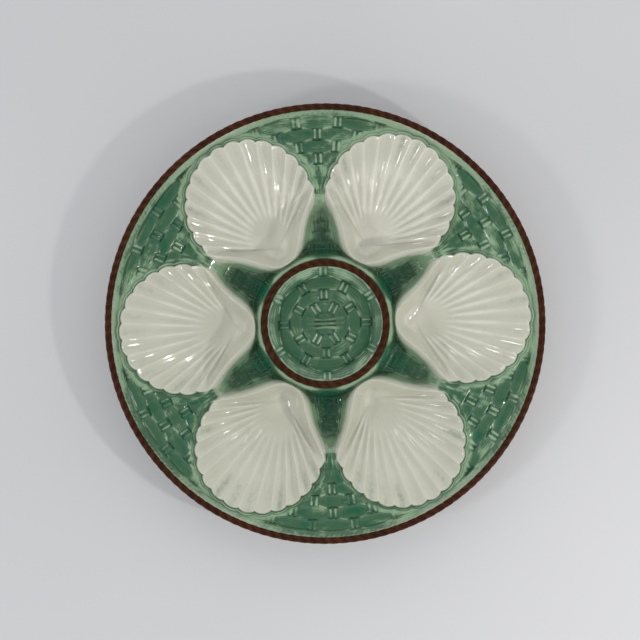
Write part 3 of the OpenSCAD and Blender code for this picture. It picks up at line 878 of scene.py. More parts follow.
def basket_tree():
    """Geometry Nodes: one triangle of basketwork between two shells, on a grid bent into rows."""
    tree, f, last = growing_tree("Basketwork", {
        **WEAVE_SIZES, "Inner radius": 0.0725, "Outer radius": 0.1164, "Weave radius": 0.1159,
        "Row width": 0.00675, "Fan radius": 0.0366, "Fan centre": 0.0782, "Band width": 0.0017,
        "Tuck": 0.0013, "Saddle radius": 0.074, "Saddle height": 0.0163, "Slope": 0.126,
        "Gap angle": 0.52, "Stake step": 0.209, "Saddle wash": 0.3, "Seed": 0.0, "Columns": 250,
        "Rings": 110})
    weave_r, fan_c, step = f["Weave radius"], f["Fan centre"], f["Stake step"]
    thick, stake_w, seed = f["Thickness"], f["Stake width"], f["Seed"]
    block = block_of(tree, f["Rings"], f["Columns"])
    x, y, z = positions(tree)

    # The grid fills the gap between the two fans
    r = f["Inner radius"] + (x + 1.0) * 0.5 * (f["Outer radius"] - f["Inner radius"])
    reach = f["Fan radius"] + f["Band width"] - f["Tuck"]
    cosine = (r * r + fan_c * fan_c - reach * reach) / (r * fan_c * 2.0)
    a = y * ((cosine.least(1.0).math("ARCCOSINE") * -1.0) + HALF_STEP)
    web = f["Saddle height"] + f["Slope"] * (r - f["Saddle radius"]).most(0.0)
    to_fan = (r * r + fan_c * fan_c - (HALF_STEP - a.abs()).cosine() * r * fan_c * 2.0).math("SQRT")
    to_band = to_fan - f["Fan radius"] - f["Band width"]
    clear = to_band.part(-0.0002, 0.0016)
    open_side = to_band.part(0.0, 0.0034)

    # Rows, bricks and pairs of stakes, half a brick further on in every other row
    rank = (weave_r - r) / f["Row width"]
    row = rank.math("FLOOR")
    turn = a / step + (1.0 - row.math("MODULO", 2.0).abs()) * 0.5
    pair = turn.math("ROUND")
    brick = turn.math("FLOOR")
    to_pair = (turn - pair).abs() * step * r + row.above(PLAIN_ROW) * (stake_w * OUT_OF_REACH)
    luck = drawn(tree, brick * 7.3 + 0.37, row * 5.1 + 0.61, seed)
    pair_luck = drawn(tree, pair * 6.1 + 0.2, row * 4.3 + 0.9, seed)
    wander = noise(tree, 7.0, 1.0, seed=seed) * 0.5 + luck * 0.2
    weave, row_wash = woven_row(tree, f, {
        "Across": rank - row, "To pair": to_pair, "Reach": r * step * 0.5, "Wander": wander, "Luck": luck,
        "Strands": PANEL_STRANDS})

    # The weave lies flatter next to the fans and runs out under the rim band
    weave = weave * (luck * 0.1 + 1.0) * clear + thick * 0.78 * (1.0 - clear)
    by_rim = r.part(weave_r - 0.0016, weave_r - 0.0001)
    weave = weave * (1.0 - by_rim) + thick * 0.34 * by_rim
    top = z.above(0.0)
    height = web + weave * top - (1.0 - top) * BLOCK_SINK

    # The glaze is thin next to the shells and along the rim, and thick at the saddle
    pale_side = r.part(weave_r * 0.86, weave_r * 0.97) * 0.4 + 0.3
    wash = row_wash * (clear * 0.6 + 0.4) - (1.0 - open_side) * pale_side
    wash = wash + (1.0 - r.part(f["Saddle radius"] * 0.98, f["Saddle radius"] * 1.05)) * f["Saddle wash"]
    drift = noise(tree, 3.2, 2.0, seed=seed + 4.0) - 0.5
    along = turn - brick - 0.5
    wash = wash - r.part(weave_r - 0.0045, weave_r) * 0.2 + drift * 1.6 + along * luck * 0.9
    wash = wash + pair_luck * 0.45 * (1.0 - to_pair.part(stake_w * 1.6, stake_w * 3.0))
    angle = a + f["Gap angle"]
    mesh = put_points(tree, store(tree, block, "wash", wash), r * angle.cosine(), r * angle.sine(), height)
    return close_tree(tree, f, last, mesh)


def centre_tree():
    """Geometry Nodes: the woven floor of the centre, rings of weave round a bundle of three strands."""
    tree, f, last = growing_tree("Woven Centre", {
        **WEAVE_SIZES, "Radius": 0.0319, "Flat height": 0.016, "Edge height": 0.0209, "Bundle pitch": 0.0025,
        "Seed": 3.0, "Columns": 190})
    radius, thick, seed = f["Radius"], f["Thickness"], f["Seed"]
    block = block_of(tree, f["Columns"], f["Columns"])
    u, v, w = positions(tree)

    # The square grid becomes a disc, woven ring by ring
    x = u * (1.0 - v * v * 0.5).math("SQRT")
    y = v * (1.0 - u * u * 0.5).math("SQRT")
    share = (x * x + y * y).math("SQRT")
    r = share * radius
    angle = y.math("ARCTAN2", x)
    wander = noise(tree, 2.0, 1.0, seed=seed) * 0.2
    weave, wash = 0.0, 0.0
    for j, (outer, inner, pale) in enumerate(zip(CENTRE_ROWS[:-1], CENTRE_ROWS[1:], CENTRE_PALE)):
        turn = angle / WELL_STEP + (0.5 if j % 2 == 0 else 0.0)
        to_pair = (turn - turn.math("ROUND")).abs() * WELL_STEP * r
        if j == 3:
            to_pair = to_pair + (1.0 - angle.sine().abs().above(0.5)) * radius
        luck = drawn(tree, turn.math("FLOOR") * 5.3 + 0.4, seed, j * 3.7)
        ring, row_wash = woven_row(tree, f, {
            "Across": (outer - share) / (outer - inner), "To pair": to_pair, "Reach": r * HALF_STEP,
            "Wander": wander, "Luck": luck * 0.6, "Strands": CENTRE_STRANDS})
        here = share.above(inner) * (1.0 - share.above(outer))
        ring = ring * here
        if j == 0:
            ring = ring * 0.5 + thick * 0.42 * here
        weave = ring + weave
        wash = (row_wash - pale) * here + wash

    # Three strands pinched into a bundle, on a hub of spokes
    line = y * radius / (f["Bundle pitch"] * (x.abs() * 0.9 + 0.82))
    off = (line - line.math("ROUND")).abs() * 2.0
    strand = (1.0 - off * off * 0.9).most(0.0) ** 0.5
    inside = (1.0 - line.abs().part(1.4, 1.55)) * (1.0 - x.abs().part(0.31, 0.36))
    spokes = ((x * 17.0).cosine() * 0.5 + 0.5) * (1.0 - share.part(0.17, 0.2)) * thick * 0.75
    weave = weave.most(spokes).math("SMOOTH_MAX", thick * 1.2 * strand * inside, 0.0001)
    drift = noise(tree, 2.6, 2.0, seed=seed + 6.0) - 0.5
    wash = wash * (1.0 - inside) - inside * (strand * 0.25 - 0.2) + drift * 1.3
    slope = (f["Edge height"] - f["Flat height"]) * (share - CENTRE_FLAT_SHARE).most(0.0)
    height = f["Flat height"] + slope * (1 / (1 - CENTRE_FLAT_SHARE)) + weave * w.above(0.0)
    mesh = put_points(tree, store(tree, block, "wash", wash), x * radius, y * radius, height)
    return close_tree(tree, f, last, mesh)


# Ropes and rim band
ROPE_STEPS = 14
RIM_STRANDS = 134
STROKES = 268
STROKE_STEPS = 7
STROKE_DEPTH = 0.0002
MEET = 0.000002
NICK_WASH = 1500.0


def ring_tube(tree, f):
    """A tube of squares whose ends meet, with the angle round its section and the angle along the ring."""
    pipe = add_node(tree, "GeometryNodeMeshCylinder", {
        "Radius": 1.0, "Depth": 2.0, "Vertices": f["Around"], "Side Segments": f["Along"]}, fill_type="NONE")
    x, y, z = positions(tree)
    return pipe.outputs["Mesh"], y.math("ARCTAN2", x), (z + 1.0) * math.pi


def laid_in_ring(tree, f, last, mesh, r, along, height):
    """Bends a tube into a closed ring, and ends its tree."""
    laid = put_points(tree, mesh, r * along.cosine(), r * along.sine(), height)
    closed = add_node(tree, "GeometryNodeMergeByDistance", {"Distance": MEET, "Geometry": laid})
    outward = add_node(tree, "GeometryNodeFlipFaces", {"Mesh": closed.outputs[0]})
    return close_tree(tree, f, last, outward.outputs[0])


def rope_tree():
    """Geometry Nodes: a twisted rope laid in a ring on its seat, whose strands wind round it."""
    tree, f, last = growing_tree("Rope Border", {
        "Ring radius": 0.12, "Half width": 0.00165, "Seat": 0.0231, "Crest": 0.026,
        "Strands": float(RIM_STRANDS), "Groove": 0.0003, "Seed": 1.0, "Around": 26,
        "Along": RIM_STRANDS * ROPE_STEPS})
    groove = f["Groove"]
    mesh, around, along = ring_tube(tree, f)
    phase = around * 2.0 + along * f["Strands"]
    strand = (phase * 0.5).sine().abs()
    dent = (1.0 - strand ** 0.6) * groove
    fibre = ((phase * 3.5).sine() * 0.5 + 0.5) * groove * 0.1
    luck = noise(tree, 9.0, 2.0, seed=f["Seed"]) * groove * 0.12
    half = f["Half width"] - dent - fibre - luck
    height = (f["Crest"] - f["Half width"] + half * around.sine()).most(f["Seat"])
    r = f["Ring radius"] + half * around.cosine()
    stored = store(tree, store(tree, mesh, "strand", strand), "twist", phase)
    return laid_in_ring(tree, f, last, stored, r, along, height)


def rim_band_tree():
    """Geometry Nodes: the plain band next to the rim rope, nicked by slanting strokes along the rope."""
    tree, f, last = growing_tree("Rim Band", {
        "Inner radius": 0.1148, "Outer radius": 0.1196, "Inner height": 0.0229, "Outer height": 0.0236,
        "Depth": 0.0015, "Teeth": float(STROKES), "Slant": 6.5, "Wash": -0.36, "Seed": 5.0, "Around": 24,
        "Along": STROKES * STROKE_STEPS})
    seed = f["Seed"]
    mesh, around, along = ring_tube(tree, f)
    wide, tall = around.cosine(), around.sine()
    wide = wide.math("SIGN") * (wide.abs() ** 0.7)
    tall = tall.math("SIGN") * (tall.abs() ** 0.4)
    share = wide * 0.5 + 0.5
    r = f["Inner radius"] + (f["Outer radius"] - f["Inner radius"]) * share
    crest = f["Inner height"] + (f["Outer height"] - f["Inner height"]) * share
    stroke = (along * f["Teeth"] + share * f["Slant"]).sine() * 0.5 + 0.5
    worn = noise(tree, 30.0, 1.0, seed=seed + 2.0).part(0.35, 0.65)
    nick = (stroke ** 2.0) * share.part(0.1, 0.7) * STROKE_DEPTH * (worn * 0.8 + 0.2)
    swell = noise(tree, 6.0, 1.0, seed=seed) * 0.0001
    height = crest - f["Depth"] * (0.5 - tall * 0.5) - (nick + swell) * tall.above(0.2)
    runs = noise(tree, 55.0, 2.0, seed=seed + 1.0) - 0.5
    by_shell = (along * float(WELLS)).cosine() * 0.5 + 0.5
    wash = f["Wash"] * (share * 1.2 + 0.5) - by_shell * 0.42 + runs * 1.1
    wash = wash + nick * NICK_WASH * (1.0 - by_shell * 0.6)
    cream = share.part(0.1, 0.8) * (by_shell * 0.34 + 0.12)
    stored = store(tree, store(tree, mesh, "wash", wash), "cream", cream)
    return laid_in_ring(tree, f, last, stored, r, along, height)


# Glazes, clay and table. Gains are those of crease, basin and mottle
GREEN_GAINS = (0.2, 0.4, 0.55)
# Painted light: the cream's negative basin gain makes it paler in the shells' wide hollows and a little
# darker on broad rises, against the shade that falls in the hollows
CREAM_GAINS = (0.34, -0.7, 0.25)
BROWN_GAINS = (0.5, 0.0, 0.8)
CREAM_BIAS = 0.5
CRACK_COLOUR = (0.16, 0.14, 0.09)
GREY = (0.5, 0.5, 0.5, 1)
RIPPLE_HEIGHT = 0.00018
FIBRE_DEPTH = 0.00004
GRAIN_HEIGHT = 0.00012


def object_place(tree):
    """Object coordinates in a material."""
    return tree.nodes.new("ShaderNodeTexCoord").outputs["Object"]


def blend_colours(tree, a, b, share):
    """Mixes two colours by a share."""
    a, b = ((*value, 1) if isinstance(value, tuple) else value for value in (a, b))
    node = add_node(tree, "ShaderNodeMix", {0: share, 6: a, 7: b}, data_type="RGBA", clamp_factor=True)
    return Field(tree, node.outputs[2])


def film_group():
    """Node group: colour of a glaze by its thickness, thin on crests and deep in hollows. A negative basin
    gain turns this round in the wide hollows, as painted light.
    """
    tree, f, last = new_tree("Glaze Film", "ShaderNodeTree", {
        "Thin": GREY, "Middle": GREY, "Deep": GREY, "Crease": 0.0, "Basin": 0.0, "Crease gain": 0.5,
        "Basin gain": 0.5, "Mottle": 0.2, "Bias": 0.0}, {"Color": "NodeSocketColor"})
    place = object_place(tree)
    clouds = noise(tree, 70.0, 3.0, place, 1.0) - 0.5
    flow = noise(tree, 260.0, 2.0, place, 4.0) - 0.5
    basin = f["Basin"].most(0.0) + f["Basin"].least(0.0) * 0.35
    film = f["Crease"] * f["Crease gain"] + basin * f["Basin gain"] + f["Bias"] + 0.5
    film = film + (clouds + flow * 0.6) * f["Mottle"]
    low = blend_colours(tree, f["Thin"], f["Middle"], film.part(0.0, 0.5))
    feed(tree, last.inputs["Color"], blend_colours(tree, low, f["Deep"], film.part(0.5, 1.1)))
    return tree


def skin_group():
    """Node group: faint waves, pinholes and crazing of a fired glaze, as a height in metres and masks."""
    tree, f, last = new_tree("Glaze Skin", "ShaderNodeTree", {
        "Waves": 0.00002, "Pits": 0.00003, "Ripples": 0.0, "Craze": 1.0},
        {"Height": "NodeSocketFloat", "Cracks": "NodeSocketFloat", "Dust": "NodeSocketFloat"})
    place = object_place(tree)
    waves = noise(tree, 230.0, 1.5, place, 2.0) - 0.5
    cells = add_node(tree, "ShaderNodeTexVoronoi", {"Scale": 420.0, "Vector": place})
    gate = noise(tree, 150.0, 1.0, place, 6.0).part(0.56, 0.64)
    pit = (1.0 - Field(tree, cells.outputs["Distance"]).part(0.05, 0.16)) * gate
    net = add_node(tree, "ShaderNodeTexVoronoi", {"Scale": 190.0, "Vector": place},
                   feature="DISTANCE_TO_EDGE")
    crazed = noise(tree, 45.0, 1.0, place, 8.0).part(0.45, 0.65)
    crack = (1.0 - Field(tree, net.outputs["Distance"]).part(0.0, 0.035)) * crazed
    wet = noise(tree, 38.0, 1.0, place, 9.0).part(0.52, 0.66)
    ripples = (noise(tree, 1300.0, 1.0, place, 10.0) - 0.5) * wet
    feed(tree, last.inputs["Height"], waves * f["Waves"] - pit * f["Pits"] + ripples * f["Ripples"])
    feed(tree, last.inputs["Cracks"], crack * f["Craze"])
    feed(tree, last.inputs["Dust"], pit)
    return tree


def new_material(name):
    """A material with an empty tree, its shader and its output."""
    made = bpy.data.materials.new(name)
    made.use_nodes = True
    tree = made.node_tree
    tree.nodes.clear()
    shader = tree.nodes.new("ShaderNodeBsdfPrincipled")
    add_node(tree, "ShaderNodeOutputMaterial", {"Surface": shader.outputs[0]})
    return made, tree, shader


def attribute(tree, name):
    """A value stored on the points of a mesh."""
    return Field(tree, add_node(tree, "ShaderNodeAttribute", {}, attribute_name=name).outputs["Fac"])


def film_in(tree, colours, gains, inputs):
    """Places the film group with its thin, middle and deep colour and its gains."""
    values = {key: (*value, 1) for key, value in zip(("Thin", "Middle", "Deep"), colours)}
    values.update(zip(("Crease gain", "Basin gain", "Mottle"), gains))
    film = shared("Glaze Film", film_group)
    node = add_node(tree, "ShaderNodeGroup", {**values, **inputs}, node_tree=film)
    return Field(tree, node.outputs["Color"])


def skin_in(tree, inputs):
    """Places the skin group. Returns its height, cracks and dust."""
    node = add_node(tree, "ShaderNodeGroup", inputs, node_tree=shared("Glaze Skin", skin_group))
    return [Field(tree, node.outputs[key]) for key in ("Height", "Cracks", "Dust")]


def bumped(tree, shader, height):
    """Lets a height in metres bend the light on a surface."""
    bump = add_node(tree, "ShaderNodeBump", {"Strength": 1.0, "Distance": 1.0, "Height": height})
    feed(tree, shader.inputs["Normal"], bump.outputs[0])


def wire(tree, shader, values):
    """Feeds values into the shader's inputs."""
    for key, value in values.items():
        feed(tree, shader.inputs[key], value)


def glaze_material(name, c):
    """Green and cream glazes side by side: the point value cream says which one lies there."""
    made, tree, shader = new_material(name)
    relief = {"Crease": attribute(tree, "crease"), "Basin": attribute(tree, "basin")}
    wash = attribute(tree, "wash")
    green = film_in(tree, (c.green_thin, c.green, c.green_deep), GREEN_GAINS, {**relief, "Bias": wash})
    # Painted light: with its negative basin gain the cream comes out paler in the shells' wide hollows
    cream = film_in(tree, (c.cream_thin, c.cream, c.cream_deep), CREAM_GAINS,
                    {**relief, "Bias": wash * CREAM_BIAS})
    place = object_place(tree)
    ragged = (noise(tree, 320.0, 3.0, place, 3.0) - 0.5) * 0.55
    ragged = ragged + (noise(tree, 900.0, 1.0, place, 5.0) - 0.5) * 0.2
    share = (attribute(tree, "cream") + ragged * 0.8).part(0.12, 0.88)
    height, cracks, dust = skin_in(tree, {"Ripples": (1.0 - share) * RIPPLE_HEIGHT})
    base = blend_colours(tree, green, cream, share)
    base = blend_colours(tree, base, CRACK_COLOUR, cracks * 0.13 + dust * 0.25)
    wire(tree, shader, {"Base Color": base, "Roughness": 0.07, "Specular IOR Level": 0.45})
    bumped(tree, shader, height)
    return made


def brown_material(name, c):
    """Brown glaze over the rope borders, dark between the strands and worn on their crests."""
    made, tree, shader = new_material(name)
    crease = (0.62 - attribute(tree, "strand")) * 1.2
    base = film_in(tree, (c.brown_thin, c.brown, c.brown_deep), BROWN_GAINS, {"Crease": crease})
    worn = noise(tree, 500.0, 2.0, object_place(tree), 7.0).part(0.35, 0.7)
    fibres = ((attribute(tree, "twist") * 5.0).sine() * 0.5 + 0.5) * worn
    base = blend_colours(tree, base, c.brown_deep, fibres * 0.35)
    wire(tree, shader, {"Base Color": base, "Roughness": 0.24, "Specular IOR Level": 0.06})
    bumped(tree, shader, skin_in(tree, {"Craze": 0.0})[0] - fibres * FIBRE_DEPTH)
    return made


def clay_material(name, c):
    """Bare fired clay of the foot ring, worn pale, with grit and rubbed marks."""
    made, tree, shader = new_material(name)
    place = object_place(tree)
    grain = noise(tree, 1800.0, 3.0, place, 1.0)
    stain = noise(tree, 90.0, 3.0, place, 2.0).part(0.42, 0.7)
    base = blend_colours(tree, c.clay, tuple(v * 0.62 for v in c.clay), stain * 0.55)
    base = blend_colours(tree, base, tuple(v * 0.4 for v in c.clay), grain.part(0.62, 0.72) * 0.5)
    wire(tree, shader, {"Base Color": base, "Roughness": stain * 0.1 + 0.78})
    bumped(tree, shader, grain * GRAIN_HEIGHT)
    return made


def table_material(name, c):
    """Plain pale table top with faint clouds."""
    made, tree, shader = new_material(name)
    shade = noise(tree, 3.0, 2.0, object_place(tree), 1.0)
    base = blend_colours(tree, c.table, tuple(v * 0.93 for v in c.table), shade.part(0.35, 0.7))
    wire(tree, shader, {"Base Color": base, "Roughness": 0.75, "Specular IOR Level": 0.2})
    return made


FINISHES = {"Green glaze": glaze_material, "Cream glaze": glaze_material, "Brown glaze": brown_material,
            "Bare clay": clay_material, "Table top": table_material}


class Colours:
    """The glaze colours as plain tuples."""

    def __init__(self):
        group = bpy.context.scene.plate_colours
        for key in GlazeColours.__annotations__:
            setattr(self, key, tuple(getattr(group, key)))


def glaze(name):
    """One of the plate's materials."""
    return shared(name, lambda: FINISHES[name](name, Colours()))


# Steps that build the plate. Edges sharper than these angles, in degrees, stay sharp
SHARP_BODY = 40
SHARP_SHELL = 55
SHARP_WEAVE = 60
SHARP_ROPE = 75
NECK_CREAM = 0.45
NECK_R = 69.5
BACK_CREAM = 0.85
WEAVE_IN_R = 72.8
PANEL_SEED = 11.0
RIM_ROPE_INSET = 0.5
VALLEY_SHARE = 0.3
BAND_TUCK_IN = 0.5
BAND_TUCK_OUT = 0.15


class PLATE_OT_body(bpy.types.Operator):
    """Turns the body of the plate and lets in room for the six shells"""

    bl_idname = "plate.body"
    bl_label = "Turned Body"

    def execute(self, context):
        s = Sizes()
        made = new_object(body_mesh(s))
        rooms = new_object(room_mesh(s))
        cut = made.modifiers.new("Rooms", "BOOLEAN")
        cut.object = rooms
        cut.operation = "DIFFERENCE"
        cut.solver = "MANIFOLD"
        mesh = plain_mesh(made)
        made.modifiers.clear()
        bpy.data.objects.remove(rooms)
        made.data = mesh
        mesh.materials.clear()
        mesh.materials.append(glaze("Green glaze"))
        x, y, z = get_points(mesh).T
        r = np.hypot(x, y)
        back = z < np.where(r < s.ring_r, s.centre_h - 2, web_z(s, r) - 1.5)
        neck = NECK_CREAM * ease((trough_side(x, y) - 0.4) / 1.6) * bell((r - NECK_R) / 3.5)
        set_value(mesh, "cream", np.where(back, BACK_CREAM, neck))
        set_value(mesh, "wash", np.where(back, 0, pool_wash(x, y)))
        settle(made, ["plate_body"], SHARP_BODY)
        made.name = "body"
        return {"FINISHED"}


class PLATE_OT_shells(bpy.types.Operator):
    """Moulds the six fluted scallop wells"""

    bl_idname = "plate.shells"
    bl_label = "Scallop Wells"

    def execute(self, context):
        s = Sizes()
        for k, node in enumerate(SHELLS):
            made = new_object(shell_mesh(s, k))
            made.data.materials.append(glaze("Cream glaze"))
            settle(made, [node], SHARP_SHELL)
            made.name = f"scallop_well_{k + 1}"
        return {"FINISHED"}


def metres(sizes):
    """Named sizes in metres, from millimetres."""
    return {text: value * MM for text, value in sizes.items()}


def weave_sizes(s):
    """Sizes that all the basketwork shares, in metres."""
    return metres(dict(zip(WEAVE_SIZES, (s.weave_t, s.stake_w, s.stake_gap, s.stake_rise))))


class PLATE_OT_basketwork(bpy.types.Operator):
    """Weaves the six triangles of basketwork between the shells"""

    bl_idname = "plate.basketwork"
    bl_label = "Basketwork"

    def execute(self, context):
        s = Sizes()
        tree = basket_tree()
        sizes = metres({
            "Inner radius": WEAVE_IN_R, "Outer radius": s.weave_out_r + 0.5, "Weave radius": s.weave_out_r,
            "Row width": s.row_w, "Fan radius": s.fan_r, "Fan centre": s.fan_c, "Band width": s.band_w,
            "Saddle radius": s.saddle_r, "Saddle height": s.saddle_h})
        for k, node in enumerate(PANELS):
            made = grown(f"basketwork_{k + 1}", tree, {
                **weave_sizes(s), **sizes, "Slope": s.web_slope, "Gap angle": k * WELL_STEP + HALF_STEP,
                "Seed": PANEL_SEED + k, "Glaze": glaze("Green glaze")})
            settle(made, [node], SHARP_WEAVE)
        return {"FINISHED"}


class PLATE_OT_centre(bpy.types.Operator):
    """Weaves the floor of the centre well"""

    bl_idname = "plate.centre"
    bl_label = "Woven Centre"

    def execute(self, context):
        s = Sizes()
        sizes = metres({"Radius": s.ring_in_r, "Flat height": s.centre_h, "Edge height": s.centre_edge_z,
                        "Bundle pitch": s.bundle_pitch})
        made = grown("woven_centre", centre_tree(), {
            **weave_sizes(s), **sizes, "Glaze": glaze("Green glaze")})
        settle(made, ["centre_weave"], SHARP_WEAVE)
        return {"FINISHED"}


class PLATE_OT_ropes(bpy.types.Operator):
    """Lays the rope borders on the rim and round the centre"""

    bl_idname = "plate.ropes"
    bl_label = "Rope Borders"

    def execute(self, context):
        s = Sizes()
        tree = rope_tree()
        rim_w = s.rim_rope_w + RIM_ROPE_INSET
        ropes = (("rope_on_rim", "rim_rope", s.plate_r, rim_w, s.rim_seat, s.plate_h, 1.0),
                 ("rope_round_centre", "centre_rope", s.ring_r, s.ring_rope_w, s.ring_seat, s.ring_top, 2.0))
        for name, node, outer, width, seat, crest, seed in ropes:
            middle = outer - width / 2
            strands = round(2 * math.pi * middle / s.rope_pitch)
            sizes = metres({"Ring radius": middle, "Half width": width / 2, "Seat": seat, "Crest": crest})
            made = grown(name, tree, {
                **sizes, "Strands": float(strands), "Along": strands * ROPE_STEPS, "Seed": seed,
                "Glaze": glaze("Brown glaze")})
            settle(made, [node], SHARP_ROPE)
        return {"FINISHED"}


class PLATE_OT_rim_band(bpy.types.Operator):
    """Lays the plain nicked band between the basketwork and the rim rope"""

    bl_idname = "plate.rim_band"
    bl_label = "Rim Band"

    def execute(self, context):
        s = Sizes()
        valley = float(web_z(s, np.array(s.weave_out_r))) + VALLEY_SHARE * s.weave_t
        sizes = metres({
            "Inner radius": s.weave_out_r - BAND_TUCK_IN, "Outer radius": s.rope_in_r + BAND_TUCK_OUT,
            "Inner height": valley, "Outer height": s.web_rim_z + s.weave_t})
        made = grown("rim_band", rim_band_tree(), {**sizes, "Glaze": glaze("Green glaze")})
        settle(made, [], SHARP_WEAVE)
        return {"FINISHED"}


class PLATE_OT_foot(bpy.types.Operator):
    """Gives the foot ring its bare clay"""

    bl_idname = "plate.foot"
    bl_label = "Bare Foot"

    def execute(self, context):
        foot = frame["nodes"]["foot_ring"]
        foot.data.materials.clear()
        foot.data.materials.append(glaze("Bare clay"))
        return {"FINISHED"}


# Pooling of the glaze, measured in millimetres on a grid of heights seen from above
CELL = 0.5
SPREAD_STEPS = 3
GAP_ROUNDS = 6
DETAIL_REACH = 0.35
FLUTE_REACH = 1.5
WELL_REACH = 7.0
FULL_CREASE = 0.5
FULL_BASIN = 4.0
HIDDEN = 1.2
MIXED_CREASE = 0.3
# Painted light: the direction across the plate towards which the glazes are paled, and how strongly the green
# and the cream are paled
PAINTED_LIGHT_SIDE = (0.26, 0.97)
GREEN_PAINTED_LIGHT = 0.11
CREAM_PAINTED_LIGHT = 0.7


def blurred(field, reach):
    """A field averaged with a bell curve that reaches that many millimetres."""
    half = int(3 * reach / CELL) + 1
    weights = np.exp(-0.5 * (np.arange(-half, half + 1) * CELL / reach) ** 2)
    weights /= weights.sum()
    padded = np.pad(field, half, mode="edge")
    rows = np.apply_along_axis(lambda v: np.convolve(v, weights, "valid"), 0, padded)
    return np.apply_along_axis(lambda v: np.convolve(v, weights, "valid"), 1, rows)


def cells_of(points, s, count):
    """Cells of the height grid in which points lie, as rows and columns."""
    return tuple(np.clip(((points[:, :2] + s.plate_r) / CELL + 1).astype(int), 0, count - 1).T)


def spread(mesh, points):
    """Points laid evenly over every triangle of a mesh."""
    mesh.calc_loop_triangles()
    flat = np.zeros(len(mesh.loop_triangles) * 3, np.int32)
    mesh.loop_triangles.foreach_get("vertices", flat)
    a, b, c = (points[corner] for corner in flat.reshape(-1, 3).T)
    steps = range(SPREAD_STEPS + 1)
    shares = [(i / SPREAD_STEPS, j / SPREAD_STEPS) for i in steps for j in steps if i + j <= SPREAD_STEPS]
    return np.concatenate([a + (b - a) * u + (c - a) * v for u, v in shares])


def height_grid(glazed, s):
    """Heights of the plate's upper side on a square grid, and the rim seat's height outside the plate."""
    count = int(2 * s.plate_r / CELL) + 3
    top = np.full((count, count), -1.0)
    for piece in glazed:
        dense = spread(piece.data, get_points(piece.data))
        np.maximum.at(top, cells_of(dense, s, count), dense[:, 2])
    for _ in range(GAP_ROUNDS):
        around = np.max([np.roll(top, d, axis) for d in (-1, 1) for axis in (0, 1)], 0)
        top = np.where(top < 0, around, top)
    middle = np.arange(count) * CELL - s.plate_r - CELL / 2
    top[np.hypot(*np.meshgrid(middle, middle, indexing="ij")) > s.plate_r] = s.rim_seat
    return top


def read_grid(field, points, s):
    """Values of a grid at points, blended between the four cells round each of them."""
    place = (points[:, :2] + s.plate_r) / CELL + 0.5
    low = np.clip(np.floor(place).astype(int), 0, len(field) - 2)
    t = place - low
    a, b = low.T
    left = mix(field[a, b], field[a, b + 1], t[:, 1])
    right = mix(field[a + 1, b], field[a + 1, b + 1], t[:, 1])
    return mix(left, right, t[:, 0])


class PLATE_OT_pooling(bpy.types.Operator):
    """Measures where glaze runs off and where it pools, stores it on every glazed piece, and paints light
    onto the top of the plate
    """

    bl_idname = "plate.pooling"
    bl_label = "Glaze Pooling"

    def execute(self, context):
        s = Sizes()
        glazed = [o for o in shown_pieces() if "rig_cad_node" not in o]
        top = height_grid(glazed, s)
        fine = blurred(top, FLUTE_REACH) - blurred(top, DETAIL_REACH)
        wide = blurred(top, WELL_REACH) - blurred(top, FLUTE_REACH)
        for piece in glazed:
            mesh = piece.data
            points = get_points(mesh)
            cream, wash = get_value(mesh, "cream"), get_value(mesh, "wash")
            shown = points[:, 2] > top[cells_of(points, s, len(top))] - HIDDEN
            crease = np.where(shown, np.clip(read_grid(fine, points, s) / FULL_CREASE, -1, 1), 0)
            basin = np.where(shown, np.clip(read_grid(wide, points, s) / FULL_BASIN, -1, 1), 0)
            if piece.name.startswith(("body", "scallop")):
                in_trough = (cream < 0.5) & (np.hypot(*points[:, :2].T) < s.saddle_r)
                mixed = (cream > 0.02) & (cream < 0.98)
                crease = np.where(in_trough, 0, np.where(mixed, crease * MIXED_CREASE, crease))
            # Painted light: the wash is thinned towards the top of the plate and thickened towards the
            # bottom, so the glazes are paler at the top and darker at the bottom, the cream more than the
            # green
            painted_light_lean = points[:, :2] @ np.array(PAINTED_LIGHT_SIDE) / s.plate_r * mix(GREEN_PAINTED_LIGHT, CREAM_PAINTED_LIGHT, cream)
            measured = {"crease": crease, "basin": basin, "cream": cream, "wash": wash - painted_light_lean}
            for name, values in measured.items():
                set_value(mesh, name, values)
        return {"FINISHED"}


# Table, lamps and camera
TABLE_HALF = 3.0
CAMERA_HEIGHT = 0.9
SENSOR = 36
RIM_PIXELS = 221.0
IMAGE_PIXELS = 640
PLATE_SHIFT_PIXELS = (5.2, -3.6)
PLATE_TURN = math.radians(2.4)
LAMP_POWER = 2.4
# Name, azimuth and elevation in degrees, distance in metres, share of the power, size by distance, tint
LAMPS = (("Lamp east", -32.0, 39.5, 0.75, 1.05, 0.055, (1.0, 0.98, 0.95)),
         ("Lamp west", 200.3, 39.0, 1.2, 0.62, 0.13, (0.97, 0.98, 1.0)))
SKY_COLOUR = (0.98, 0.99, 1.0, 1)
BACKGROUND = (0.6, 0.6, 0.61, 1)


def add_lamp(name, azimuth, elevation, distance, share, size, tint):
    """A small square lamp that faces the plate."""
    data = bpy.data.lights.new(name, "AREA")
    data.size = size * distance
    data.energy = LAMP_POWER * share * distance ** 2
    data.color = tint
    lamp = bpy.data.objects.new(name, data)
    a, e = math.radians(azimuth), math.radians(elevation)
    lamp.location = Vector((math.cos(a) * math.cos(e), math.sin(a) * math.cos(e), math.sin(e))) * distance
    lamp.rotation_euler = (-lamp.location).to_track_quat("-Z", "Y").to_euler()
    bpy.context.scene.collection.objects.link(lamp)


